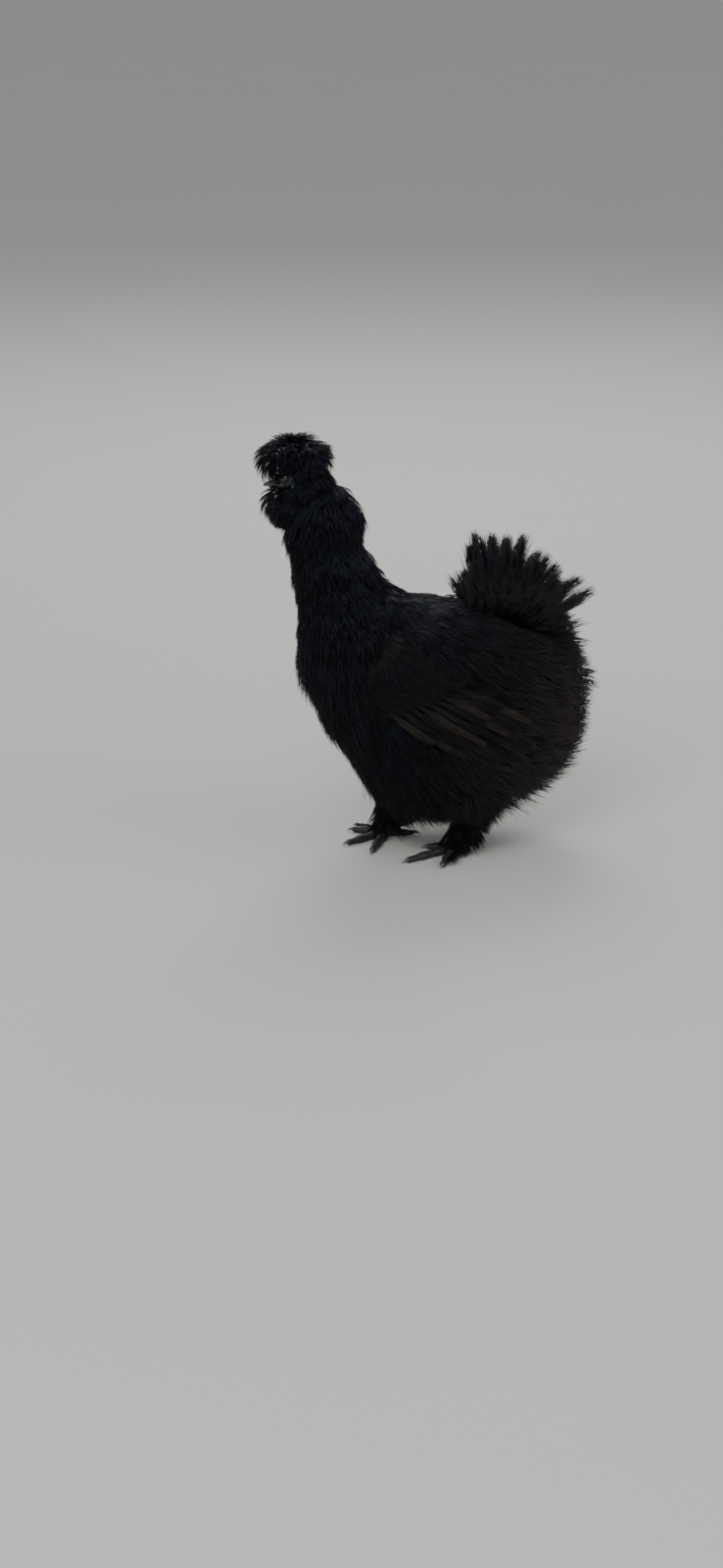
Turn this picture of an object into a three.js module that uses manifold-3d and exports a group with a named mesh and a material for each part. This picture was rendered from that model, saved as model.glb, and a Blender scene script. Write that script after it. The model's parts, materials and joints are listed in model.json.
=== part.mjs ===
// A silkie hen at life size, in mid stride, with its head turned to its right.
// Millimetres, +Z up. The hen heads towards -X and its left side is towards -Y.

import * as THREE from 'three';
import { mergeVertices } from 'three/addons/utils/BufferGeometryUtils.js';
import Module from 'manifold-3d';

const wasm = await Module();
wasm.setup();

const DEG = Math.PI / 180;
const UP = new THREE.Vector3(0, 0, 1);

// Clearance between parts that touch, and how far small facets may be merged
const GAP = 0.45;
const TIDY = 0.19;

// Where the scatter of each coat starts
const SEED = {
    crest: 11,
    beard: 23,
    neck: 31,
    torso: 41,
    rump: 53,
    wing: 67,
    fringe: 71,
    tail: 83,
    thigh: 97,
    boot: 113,
};

// Colours
const PLUMAGE = '#15171f';
const FLUFF = '#1e1c20';
const FACE = '#1f1a24';
const MULBERRY = '#2d1c28';
const TURQUOISE = '#3f8790';
const SLATE = '#2c3038';
const HORN = '#5f666e';
const EYE_BROWN = '#140d0a';

// A lock: how deep its root sinks, its thickness, how it tips sideways over its neighbour,
// and its section across, plain and as cut clear of others
const LOCK_SINK = 4;
const LOCK_DEPTH = 3;
const LOCK_TILT = 11 * DEG;
const LOCK_SECTION = [[-1, -0.45], [1, -0.45], [0, 1]];
const LOCK_CLEARANCE = [[-1, -0.45], [0, -0.45], [1, -0.45], [0, 1]];

// A vane: how it tips, and its section, cupped beneath and ridged above
const VANE_TILT = 12 * DEG;
const VANE_SECTION = [[-1, -1], [0, -0.5], [1, -1], [1, 0.2], [0, 1], [-1, 0.2]];

// Side outline of neck and trunk out to the tips of the coat, from the throat to the rump:
// front or belly point x, z, then back point x, z, of each section
const OUTLINE = [
    [-100, 294, -58, 300],
    [-113, 270, -44, 280],
    [-110, 244, -41, 254],
    [-104, 212, -30, 226],
    [-101, 178, -10, 209],
    [-97, 146, 10, 202],
    [-78, 102, 34, 198],
    [-42, 36, 62, 192],
    [22, 18, 90, 182],
    [96, 30, 118, 168],
    [133, 78, 134, 153],
];
// Half width of each section out to the tips, and the depth of coat at belly, back and flank
const GIRTH = [19, 30, 31, 40, 57, 71, 81, 84, 78, 58, 30];
const COAT_FRONT = [8, 9, 9, 10, 11, 12, 15, 31, 34, 31, 20];
const COAT_BACK = [8, 9, 9, 9, 9, 9, 10, 12, 14, 17, 18];
const COAT_FLANK = [7, 9, 9, 10, 12, 13, 14, 16, 18, 18, 15];
// The rump closes past this share of the way, on this point
const ROUND_OFF = 0.93;
const RUMP_END = [124, 119];
// Where neck, torso and rump meet, and how far one runs into the next before it is cut
const NECK_END = 0.35;
const TRUNK_END = 0.76;
const OVERRUN = 0.02;
// Locks of the belly are longer by this share, and its fringe hangs to this height
const BELLY_LENGTHENING = 0.3;
const FRINGE_PAIRS = 3;
const FRINGE_FLOOR = 22;
const FRINGE_WIDTH = 26;

// Head: where it sits, how far it turns to the right, and its own forms,
// with x running back from the middle of the skull
const HEAD_AT = new THREE.Vector3(-92.7, 12.4, 300.5);
const HEAD_TURN = 36 * DEG;
const SKULL_LENGTH = 37;
const SKULL_BACK = 17;
const SKULL_DEPTH = [4, 10.5, 14, 14, 12.5, 9.5, 6];
const SKULL_WIDTH = [4, 10, 13, 13, 12, 9, 5.5];
const SKULL_LIFT = [2, 2, 2, 1.5, 0.5, -1.5, -3.5];
const EYE_RADIUS = 4.2;
const EYE_AT = new THREE.Vector3(-9, 8.9, 3);
const LID_RADIUS = 1.1;
const BEAK_TIP = new THREE.Vector3(-30, 0, -6.4);
const BEAK_ROOT = -14;
const BEAK_WIDTH = 4.7;
const BEAK_DEPTH = 5.2;
const MOUTH_HEIGHT = -5.4;
const CREST_AT = new THREE.Vector3(-4, 0, 15.5);
const CREST_RADII = new THREE.Vector3(19, 18, 12);
const BEARD_AT = new THREE.Vector3(-8, 0, -17);
const BEARD_RADII = new THREE.Vector3(14, 17.5, 12);
const NOSTRIL_AT = new THREE.Vector3(-20.5, 3.7, -2.6);
const NOSTRIL_RADII = new THREE.Vector3(1.6, 1.1, 0.8);
const EARLOBE_AT = new THREE.Vector3(-1.5, 12.8, -4.5);
const EARLOBE_RADII = new THREE.Vector3(3, 1.7, 4.2);
const WATTLE_AT = new THREE.Vector3(-15, 4.6, -10.5);
const WATTLE_RADII = new THREE.Vector3(3.2, 1.9, 4.2);
const COMB_AT = new THREE.Vector3(-13.5, 0, 9);
const COMB_RADII = new THREE.Vector3(4.4, 5, 3.6);
const BULB_RADII = new THREE.Vector3(2, 2.1, 1.9);

// Tail: the stub that the vanes stand in, and the fan's reach
const STUB_AT = new THREE.Vector3(60, 0, 160);
const STUB_RADII = new THREE.Vector3(36, 24, 33);
const FAN_RADIUS = 86;
const FAN_TOP = 101 * DEG;
const FAN_BOTTOM = 16 * DEG;
const TAIL_PAIRS = 5;
const TAIL_VANE_WIDTH = 25;
const CUSHION_PAIRS = 4;
const CUSHION_LENGTH = 58;
const CUSHION_WIDTH = 24;

// Wings, in side view: shoulder, tip of the arm, and the tip of the longest flight feather
const SHOULDER = [-64, 165];
const ARM_END = [38, 118];
const FLIGHT_TIP = [86, 92];
const WING_HALF_DEPTH = 27;
const WING_THICKNESS = 10;
const FLIGHT_VANES = 7;
const FLIGHT_WIDTH = 14;
const COVERT_VANES = 4;
const COVERT_WIDTH = 17;

// Legs: hip, hock and ankle of each, then the tips of its toes on the floor
const LEGS = {
    left: {
        side: -1,
        hip: new THREE.Vector3(10, -40, 82),
        hock: new THREE.Vector3(37, -33, 56),
        ankle: new THREE.Vector3(20, -28, 7),
        toes: [[-3, -13], [-30, -42], [-6, -64], [45, -16]],
    },
    right: {
        side: 1,
        hip: new THREE.Vector3(2, 38, 82),
        hock: new THREE.Vector3(-6, 30, 56),
        ankle: new THREE.Vector3(-19, 25, 7),
        toes: [[-46, -14], [-60, 13], [-44, 46], [9, 19]],
    },
};
const SHANK_RADIUS = 4.4;
const TOE_RADIUS = 3.6;
const HIND_TOE = 0.85;
const FIFTH_TOE_RISE = 17;
const CLAW_LENGTH = 7.5;
const CLAW_RADIUS = 1.8;
const CLAW_SET = 2.2;
const THIGH_RADIUS = 21;
// Locks of thigh, boot and foot: how many, how long and how wide
const THIGH_LOCKS = 4;
const THIGH_LOCK = [46, 18];
const BOOT_LOCKS = 5;
const BOOT_LOCK = [20, 8];
const FOOT_LOCKS = 3;
const FOOT_LOCK = [17, 7];

// Seeded numbers between 0 and 1, the same on every build
function dice(seed) {
    let state = seed >>> 0;
    return () => {
        state = (Math.imul(state, 1664525) + 1013904223) >>> 0;
        return state / 4294967296;
    };
}

// A number within a share of its value
function vary(random, value, share) {
    return value * (1 + share * (2 * random() - 1));
}

function solid(geometry) {
    geometry.deleteAttribute('normal');
    geometry.deleteAttribute('uv');
    const merged = mergeVertices(geometry, 1e-4);
    const vertProperties = new Float32Array(merged.attributes.position.array);
    const triVerts = new Uint32Array(merged.index.array);
    return new wasm.Manifold(new wasm.Mesh({ numProp: 3, vertProperties, triVerts }));
}

function union(solids) {
    return wasm.Manifold.union(solids);
}

function middle(ring) {
    const sum = new THREE.Vector3();
    ring.forEach((point) => sum.add(point));
    return sum.divideScalar(ring.length);
}

// A closed body through rings of points that run anticlockwise about the way they travel.
// From the loop's side "alike" on, squares are split so that both faces of a thin body match.
function throughRings(rings, start = middle(rings[0]), end = middle(rings.at(-1)), alike = Infinity) {
    const sides = rings[0].length;
    const points = rings.flat();
    points.push(start, end);
    const first = rings.length * sides;
    const top = (rings.length - 1) * sides;
    const faces = [];
    for (let j = 0; j < sides; j++) {
        const k = (j + 1) % sides;
        faces.push(first, k, j);
        faces.push(first + 1, top + j, top + k);
        for (let i = 0; i < top; i += sides) {
            const [a, b, c, d] = [i + j, i + k, i + sides + k, i + sides + j];
            if (j < alike) {
                faces.push(a, b, c, a, c, d);
            } else {
                faces.push(a, b, d, b, c, d);
            }
        }
    }
    const geometry = new THREE.BufferGeometry().setFromPoints(points);
    geometry.setIndex(faces);
    return solid(geometry);
}

// A tapering strip along points, across "up", that ends in a point
function strip(points, ups, widths, depths, shape, grow = 0, tilt = 0) {
    const flat = shape === LOCK_SECTION;
    const section = flat && grow ? LOCK_CLEARANCE : shape;
    const last = points.length - 1;
    const rings = [];
    const travel = new THREE.Vector3();
    for (let i = 0; i < last; i++) {
        travel.subVectors(points[i + 1], points[Math.max(i - 1, 0)]).normalize();
        const side = ups[i].clone().cross(travel).normalize().applyAxisAngle(travel, tilt);
        const up = travel.clone().cross(side);
        rings.push(section.map(([x, y]) => points[i].clone()
            .addScaledVector(side, x * (widths[i] + (flat ? 2.5 : 1) * grow))
            .addScaledVector(up, y * depths[i] + (flat && x ? -0.3 : Math.sign(y)) * grow)));
    }
    const tip = points[last].clone().addScaledVector(travel, 2 * grow);
    return throughRings(rings, middle(rings[0]), tip, section.length / 2);
}

// A rounded form that is known by two coordinates, u along it and v round it
class Form {
    constructor(base) {
        this.base = base;
    }

    slope(u, v) {
        const step = 0.002;
        const along = this.base(u + step, v).sub(this.base(u - step, v)).divideScalar(2 * step);
        const round = this.base(u, v + step).sub(this.base(u, v - step)).divideScalar(2 * step);
        return { along, round, out: round.clone().cross(along).normalize() };
    }

    point(u, v, height) {
        return this.base(u, v).addScaledVector(this.slope(u, v).out, height);
    }

    body(from, to, rows, sides, grow) {
        const rings = [];
        for (let i = 0; i <= rows; i++) {
            const u = from + (to - from) * i / rows;
            const ring = [];
            for (let j = 0; j < sides; j++) {
                ring.push(this.point(u, j / sides * 2 * Math.PI, grow));
            }
            rings.push(ring);
        }
        for (const [ring, way] of [[rings[0], -grow], [rings.at(-1), grow]]) {
            const centre = middle(ring);
            const quarter = ring[Math.round(sides / 4)].clone().sub(centre);
            const facing = ring[0].clone().sub(centre).cross(quarter).normalize();
            ring.forEach((point) => point.addScaledVector(facing, way));
        }
        return throughRings(rings);
    }

    // A flat tapered lock that leaves the form at u, v and follows its curve
    lock(u, v, { heading, length, width, rise, bend }, grow) {
        const shares = [0, 0.36, 0.72, 1];
        const points = [];
        const ups = [];
        let turn = heading;
        for (let i = 0; i < shares.length; i++) {
            const { along, round, out } = this.slope(u, v);
            const height = LOCK_SINK * (shares[i] ** 0.7 - 1) + rise * shares[i] ** 0.8;
            points.push(this.base(u, v).addScaledVector(out, height));
            ups.push(out);
            const stride = length * ((shares[i + 1] ?? 1) - shares[i]);
            u = Math.min(u + Math.cos(turn) * stride / along.length(), 0.985);
            v += Math.sin(turn) * stride / Math.max(round.length(), 8);
            turn += bend * (shares[i + 1] ?? 1);
        }
        const widths = [0.5, 1, 0.85].map((share) => share * width / 2);
        const depths = [1, 1, 0.7].map((share) => share * LOCK_DEPTH / 2);
        return strip(points, ups, widths, depths, LOCK_SECTION, grow, LOCK_TILT);
    }
}

// Neck and trunk as one form: u runs from the throat to the rump, v from the right over the back
const along = (values, u) => {
    const place = Math.min(Math.max(u, 0), 1) * (values.length - 1);
    const i = Math.min(Math.floor(place), values.length - 2);
    const t = place - i;
    const p = values[Math.max(i - 1, 0)];
    const q = values[i];
    const r = values[i + 1];
    const s = values[i + 2] ?? r;
    const bow = (2 * p - 5 * q + 4 * r - s) * t ** 2 + (3 * q - p - 3 * r + s) * t ** 3;
    return 0.5 * (2 * q + (r - p) * t + bow);
};
const column = (i) => OUTLINE.map((row) => row[i]);
const [FRONT_X, FRONT_Z, BACK_X, BACK_Z] = [0, 1, 2, 3].map(column);

function section(u) {
    const front = new THREE.Vector3(along(FRONT_X, u), 0, along(FRONT_Z, u));
    const back = new THREE.Vector3(along(BACK_X, u), 0, along(BACK_Z, u));
    const up = back.clone().sub(front).normalize();
    front.addScaledVector(up, along(COAT_FRONT, u));
    back.addScaledVector(up, -along(COAT_BACK, u));
    return {
        up,
        centre: front.clone().add(back).multiplyScalar(0.5),
        halfHeight: front.distanceTo(back) / 2,
        halfWidth: along(GIRTH, u) - along(COAT_FLANK, u),
    };
}

const trunkForm = new Form((u, v) => {
    const { up, centre, halfHeight, halfWidth } = section(Math.min(u, ROUND_OFF));
    const past = Math.max(u - ROUND_OFF, 0) / (1 - ROUND_OFF);
    const round = Math.sqrt(Math.max(1 - past ** 2, 0.004));
    const end = new THREE.Vector3(RUMP_END[0], 0, RUMP_END[1]);
    centre.lerp(end, past);
    return centre
        .addScaledVector(up, Math.sin(v) * halfHeight * round)
        .add(new THREE.Vector3(0, Math.cos(v) * halfWidth * round, 0));
});

// The place on the trunk's flank that is seen at x, z from the side
function flank(x, z, side) {
    let [low, high] = [0, ROUND_OFF];
    for (let i = 0; i < 24; i++) {
        const u = (low + high) / 2;
        const { up, centre } = section(u);
        const ahead = (x - centre.x) * up.z - (z - centre.z) * up.x;
        [low, high] = ahead > 0 ? [u, high] : [low, u];
    }
    const { up, centre, halfHeight } = section(low);
    const lift = ((x - centre.x) * up.x + (z - centre.z) * up.z) / halfHeight;
    const v = Math.asin(THREE.MathUtils.clamp(lift, -1, 1));
    return [low, side > 0 ? v : Math.PI - v];
}

const neckCore = (grow) => trunkForm.body(0, NECK_END, 5, 12, grow);
const torsoCore = (grow) => trunkForm.body(NECK_END - OVERRUN, TRUNK_END, 6, 14, grow);
const rumpCore = (grow) => trunkForm.body(TRUNK_END - OVERRUN, 0.998, 5, 14, grow);

// Rows of locks over a form. Each row gives its u, spacing, and the lock's sizes.
function coat(form, rows, seed, keep, grow) {
    const random = dice(seed);
    const locks = [];
    rows.forEach((row, r) => {
        let girth = 0;
        for (let i = 0; i < 12; i++) {
            girth += form.slope(row.u, i * Math.PI / 6).round.length() * Math.PI / 6;
        }
        const count = Math.max(Math.round(girth / row.spacing), 3);
        for (let i = 0; i < count; i++) {
            const v = 2 * Math.PI * (i + 0.5 * (r % 2) + 0.25 * (random() - 0.5)) / count;
            const u = row.u + (random() - 0.5) * 0.008;
            const lock = {
                heading: (random() - 0.5) * 0.16,
                length: vary(random, row.length, 0.14),
                width: vary(random, row.width, 0.12),
                rise: vary(random, row.rise, 0.06) * (i % 2 ? 1.08 : 0.92),
                bend: (random() - 0.5) * 0.16,
            };
            if (keep(u, v, lock, form)) {
                locks.push(form.lock(u, v, lock, grow));
            }
        }
    });
    return locks;
}

// Head, in its own axes
const headMatrix = new THREE.Matrix4().makeRotationZ(-HEAD_TURN).setPosition(HEAD_AT);
const onHead = (x, y, z) => new THREE.Vector3(x, y, z).applyMatrix4(headMatrix);

const skullForm = new Form((u, v) => onHead(
    SKULL_BACK - SKULL_LENGTH * u,
    -Math.cos(v) * along(SKULL_WIDTH, u),
    along(SKULL_LIFT, u) + Math.sin(v) * along(SKULL_DEPTH, u),
));

function ball(centre, radii, grow, sides = 12, rows = 8) {
    const geometry = new THREE.SphereGeometry(1, sides, rows);
    geometry.scale(radii.x + grow, radii.y + grow, radii.z + grow);
    geometry.translate(centre.x, centre.y, centre.z);
    geometry.applyMatrix4(headMatrix);
    return solid(geometry);
}

const sized = (x, y, z) => new THREE.Vector3(x, y, z);
const onSide = (at, side) => sized(at.x, side * at.y, at.z);
const EYE_RADII = sized(EYE_RADIUS, EYE_RADIUS, EYE_RADIUS);
const eye = (side, grow) => ball(onSide(EYE_AT, side), EYE_RADII, grow, 10, 7);

function lids(side, grow) {
    const geometry = new THREE.TorusGeometry(EYE_RADIUS + 0.1, LID_RADIUS + grow, 4, 9);
    geometry.rotateX(90 * DEG);
    geometry.rotateZ(-side * 12 * DEG);
    geometry.translate(EYE_AT.x, side * (EYE_AT.y + 1.6), EYE_AT.z);
    geometry.applyMatrix4(headMatrix);
    return solid(geometry);
}

const head = (grow) => union([
    skullForm.body(0.02, 0.98, 6, 12, grow),
    lids(-1, grow),
    lids(1, grow),
]);

// Half of the beak: sections run from the face to the tip, flat along the mouth
function beakHalf(tip, upper, grow) {
    const rings = [];
    const shares = [0, 0.35, 0.65, 0.88];
    for (const share of shares) {
        const x = BEAK_ROOT + (tip.x - BEAK_ROOT) * share + (share ? 0 : grow);
        const taper = Math.sqrt(1 - share ** 2 * 0.9);
        const width = BEAK_WIDTH * taper * (upper ? 1 : 0.82) + grow;
        const depth = (upper ? BEAK_DEPTH : 0.55 * BEAK_DEPTH) * taper + 2 * grow;
        const mouth = MOUTH_HEIGHT + (tip.z - MOUTH_HEIGHT) * share ** 2 + (upper ? -grow : grow - GAP);
        const way = upper ? 1 : -1;
        const ring = [];
        for (let j = 0; j <= 4; j++) {
            const angle = j * 45 * DEG;
            ring.push(onHead(x, way * Math.cos(angle) * width, mouth + way * Math.sin(angle) * depth));
        }
        rings.push(ring.reverse());
    }
    const end = onHead(tip.x - grow, 0, tip.z);
    return throughRings(rings, middle(rings[0]), end);
}

const beakUpper = (grow) => beakHalf(BEAK_TIP, true, grow);
const beakLower = (grow) => beakHalf(sized(BEAK_TIP.x + 4, 0, BEAK_TIP.z - 0.5), false, grow);
const nostril = (side) => ball(onSide(NOSTRIL_AT, side), NOSTRIL_RADII, 0, 6, 4);
const earlobeBall = (side, grow) => ball(onSide(EARLOBE_AT, side), EARLOBE_RADII, grow, 7, 5);
const wattleBall = (side, grow) => ball(onSide(WATTLE_AT, side), WATTLE_RADII, grow, 7, 5);

// Walnut comb: a low cushion of small bulbs across the forehead
function combBulbs(grow) {
    const bulbs = [ball(COMB_AT, COMB_RADII, grow, 7, 4)];
    for (let i = 0; i < 4; i++) {
        const angle = i * 90 * DEG + 45 * DEG;
        const at = sized(-3 * Math.cos(angle), 3.6 * Math.sin(angle), 2 - 1.2 * Math.cos(angle));
        bulbs.push(ball(at.add(COMB_AT), BULB_RADII, grow, 6, 4));
    }
    return union(bulbs);
}

const beaks = (grow) => union([beakUpper(grow), beakLower(grow)]);
const trim = (grow) => union([
    eye(-1, grow),
    eye(1, grow),
    beaks(grow),
    earlobeBall(-1, grow),
    earlobeBall(1, grow),
    wattleBall(-1, grow),
    wattleBall(1, grow),
    combBulbs(grow),
]);

// The corner of the mouth runs back into the face as a thin slot
function mouthCorner() {
    const geometry = new THREE.BoxGeometry(9, 26, 0.6);
    geometry.translate(-17, 0, MOUTH_HEIGHT + 0.15);
    geometry.applyMatrix4(headMatrix);
    return solid(geometry);
}

function ovalForm(centre, radii) {
    return new Form((u, v) => onHead(
        centre.x + radii.x * Math.sin(u * Math.PI) * Math.cos(v),
        centre.y - radii.y * Math.sin(u * Math.PI) * Math.sin(v),
        centre.z + radii.z * Math.cos(u * Math.PI),
    ));
}

const crestForm = ovalForm(CREST_AT, CREST_RADII);
const beardForm = ovalForm(BEARD_AT, BEARD_RADII);
const CREST_ROWS = [
    { u: 0.06, spacing: 4, length: 19, width: 13, rise: 12 },
    { u: 0.22, spacing: 12, length: 19, width: 14, rise: 12 },
    { u: 0.38, spacing: 15, length: 20, width: 16, rise: 10 },
];
const BEARD_ROWS = [
    { u: 0.3, spacing: 16, length: 20, width: 16, rise: 8 },
    { u: 0.55, spacing: 18, length: 25, width: 18, rise: 8 },
];
const crestCore = (grow) => crestForm.body(0.02, 0.7, 4, 10, grow);
const crestLocks = (grow) => coat(crestForm, CREST_ROWS, SEED.crest, showEyes, grow);

// The crest parts over the eyes
function showEyes(u, v, lock) {
    const overEye = u > 0.3 && Math.abs(Math.sin(v)) > 0.75 && Math.cos(v) < 0.3;
    lock.length *= overEye ? 0.6 : 1;
    return true;
}

const beardCore = (grow) => beardForm.body(0.1, 0.98, 5, 10, grow);
const inBeard = (u, v) => u > 0.5 || Math.cos(v) < 0.45;
const beardLocks = (grow) => coat(beardForm, BEARD_ROWS, SEED.beard, inBeard, grow);

// Hackles, coat of the trunk and fluff of the rump
const NECK_ROWS = [];
for (let i = 0; i < 5; i++) {
    NECK_ROWS.push({
        u: 0.006 + 0.03 * i + 0.012 * i ** 2,
        spacing: 15 + 3.4 * i,
        length: 25 + 4 * i,
        width: 15 + 3.4 * i,
        rise: 8.5,
    });
}
const TORSO_ROWS = [];
for (let i = 0; i < 6; i++) {
    TORSO_ROWS.push({
        u: 0.4 + 0.06 * i,
        spacing: 36,
        length: 47,
        width: 35,
        rise: 1,
    });
}
const RUMP_ROWS = [];
for (let i = 0; i < 4; i++) {
    RUMP_ROWS.push({
        u: 0.78 + 0.045 * i,
        spacing: 34 - 2 * i,
        length: 37 - 6 * i,
        width: 32 - 2 * i,
        rise: 1,
    });
}

// Depth of the coat where a lock of the trunk ends
function coatDepth(u, v) {
    const end = u + 0.06;
    const face = along(Math.sin(v) > 0 ? COAT_BACK : COAT_FRONT, end);
    return face * Math.sin(v) ** 2 + along(COAT_FLANK, end) * Math.cos(v) ** 2;
}

// Locks of the trunk stay off the wings, the tail stub and the thighs
function clearOfLimbs(u, v, lock, form) {
    lock.rise *= coatDepth(u, v);
    lock.length *= u > 0.5 ? 1 - BELLY_LENGTHENING * Math.min(Math.sin(v), 0) : 1;
    const at = form.base(u, v);
    const underWing = Math.abs(at.y) > 40 && insideWing(at.x + 8, at.z);
    const underTail = Math.abs(at.y) < 28 && at.z > 140 && at.x > 14 && at.x < 96;
    const overThigh = at.z < 80 && Math.abs(at.y) > 18 && at.x > -12 && at.x < 40;
    return !underWing && !underTail && !overThigh;
}

// The belly's fringe hangs between the legs
function fringeLocks(grow) {
    const random = dice(SEED.fringe);
    const locks = [];
    for (const side of [-1, 1]) {
        for (let i = 0; i < FRINGE_PAIRS; i++) {
            const v = (-90 + side * (22 + 14 * (i % 2))) * DEG;
            const root = trunkForm.point(0.65 + 0.04 * i, v, -LOCK_SINK);
            const way = new THREE.Vector3(0.25, -side * 0.12, -1).normalize();
            const length = vary(random, root.z - FRINGE_FLOOR, 0.1);
            const out = new THREE.Vector3(-0.2, -side, 0);
            locks.push(freeLock(root, way, 0, length, vary(random, FRINGE_WIDTH, 0.1), out, grow));
        }
    }
    return locks;
}

const belowThroat = (u, v) => u > 0.09 || Math.sin(v) > -0.3;
const neckLocks = (grow) => coat(trunkForm, NECK_ROWS, SEED.neck, belowThroat, grow);
const torsoLocks = (grow) => [
    ...coat(trunkForm, TORSO_ROWS, SEED.torso, clearOfLimbs, grow),
    ...fringeLocks(grow),
];
const rumpLocks = (grow) => coat(trunkForm, RUMP_ROWS, SEED.rump, clearOfLimbs, grow);

// Wing: an arm that lies on the flank, with tiers of vanes along it
const WING_WAY = new THREE.Vector2(FLIGHT_TIP[0] - SHOULDER[0], FLIGHT_TIP[1] - SHOULDER[1]);
const WING_LENGTH = WING_WAY.length();
WING_WAY.normalize();

// Side view: distance back along the wing and up across it, to x and z
const wingPlace = (back, up) => [
    SHOULDER[0] + WING_WAY.x * back - WING_WAY.y * up,
    SHOULDER[1] + WING_WAY.y * back + WING_WAY.x * up,
];

function insideWing(x, z) {
    const back = (x - SHOULDER[0]) * WING_WAY.x + (z - SHOULDER[1]) * WING_WAY.y;
    const up = (z - SHOULDER[1]) * WING_WAY.x - (x - SHOULDER[0]) * WING_WAY.y;
    return back > -8 && back < WING_LENGTH && Math.abs(up) < WING_HALF_DEPTH + 6 - back * 0.08;
}

function onFlank(back, up, side, height) {
    const [u, v] = flank(...wingPlace(back, up), side);
    return trunkForm.point(u, v, height);
}

function arm(side, grow) {
    const reach = Math.hypot(ARM_END[0] - SHOULDER[0], ARM_END[1] - SHOULDER[1]);
    const rings = [];
    for (const share of [0, 0.12, 0.35, 0.6, 0.85, 1]) {
        const swell = Math.sqrt(Math.sin(Math.PI * (0.06 + 0.86 * share)));
        const half = WING_HALF_DEPTH * swell + grow;
        const out = WING_THICKNESS * swell + grow;
        const ring = [
            [-half, 1],
            [-0.55 * half, out],
            [0.45 * half, out],
            [half, 1],
            [0.5 * half, -4],
            [-0.5 * half, -4],
        ].map(([up, height]) => onFlank(share * reach, up, side, height));
        rings.push(side > 0 ? ring : ring.reverse());
    }
    return throughRings(rings);
}

// A vane on the flank from one place of the side view to another, both as back and up
function flankVane(side, from, to, width, low, high, grow, random) {
    const points = [];
    const ups = [];
    const shares = [0, 0.3, 0.6, 0.85, 1];
    for (const share of shares) {
        const back = from[0] + (to[0] - from[0]) * share;
        const up = from[1] + (to[1] - from[1]) * share;
        const [u, v] = flank(...wingPlace(back, up), side);
        const { out } = trunkForm.slope(u, v);
        points.push(trunkForm.point(u, v, low + (high - low) * share));
        ups.push(out);
    }
    const widths = [0.6, 1, 0.9, 0.55].map((share) => vary(random, share * width / 2, 0.1));
    const depths = [0.6, 0.55, 0.5, 0.45];
    return strip(points, ups, widths, depths, VANE_SECTION, grow, side * VANE_TILT);
}

function wing(side, grow) {
    const random = dice(SEED.wing + side);
    const parts = [arm(side, grow)];
    for (let i = 0; i < FLIGHT_VANES; i++) {
        const share = i / (FLIGHT_VANES - 1);
        const from = [58 + 34 * share, -15 + 24 * share];
        const to = [WING_LENGTH - 52 + 50 * share, -31 + 30 * share];
        parts.push(flankVane(side, from, to, vary(random, FLIGHT_WIDTH, 0.1), 4.5, 7, grow, random));
    }
    for (let i = 0; i < COVERT_VANES; i++) {
        const share = i / (COVERT_VANES - 1);
        const from = [34 + 34 * share, -10 + 22 * share];
        const to = [82 + 36 * share, -24 + 34 * share];
        parts.push(flankVane(side, from, to, vary(random, COVERT_WIDTH, 0.1), 7, 11, grow, random));
    }
    return union(parts);
}

// Tail: frayed vanes fan out of the stub in tiers, left and right of the middle
const stub = (grow) => {
    const geometry = new THREE.SphereGeometry(1, 14, 8);
    geometry.scale(STUB_RADII.x + grow, STUB_RADII.y + grow, STUB_RADII.z + grow);
    geometry.translate(STUB_AT.x, STUB_AT.y, STUB_AT.z);
    return solid(geometry);
};

function tailVane(angle, splay, reach, width, side, random, grow) {
    const way = new THREE.Vector3(Math.cos(angle), 0, Math.sin(angle));
    const points = [];
    const ups = [];
    const out = new THREE.Vector3(Math.sin(angle), 0, -Math.cos(angle)).multiplyScalar(0.25);
    out.y = side;
    for (const share of [0, 0.3, 0.6, 0.85, 1]) {
        const radius = 12 + (reach - 12) * share;
        const sideways = side * (4 + splay * share ** 1.2);
        const droop = -4 * share ** 2 * Math.cos(angle);
        points.push(STUB_AT.clone().addScaledVector(way, radius).add(new THREE.Vector3(0, sideways, droop)));
        ups.push(out.clone());
    }
    const ragged = [0.45, 0.95, 0.9, 0.5];
    const widths = ragged.map((share) => vary(random, share * width / 2, 0.12));
    const depths = [0.8, 0.7, 0.6, 0.5];
    return strip(points, ups, widths, depths, VANE_SECTION, grow);
}

// Soft down of the cushion stands up beside the fan
function cushionLock(angle, side, random, grow) {
    const way = new THREE.Vector3(Math.cos(angle), 0.42 * side, Math.sin(angle)).normalize();
    const root = STUB_AT.clone();
    root.x += 0.5 * STUB_RADII.x * Math.cos(angle);
    root.y += 0.62 * STUB_RADII.y * side;
    root.z += 0.5 * STUB_RADII.z * Math.sin(angle);
    const up = new THREE.Vector3(0.3 * Math.cos(angle), side, 0.3 * Math.sin(angle));
    const length = vary(random, CUSHION_LENGTH, 0.1);
    return freeLock(root, way, -5, length, vary(random, CUSHION_WIDTH, 0.1), up, grow);
}

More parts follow.
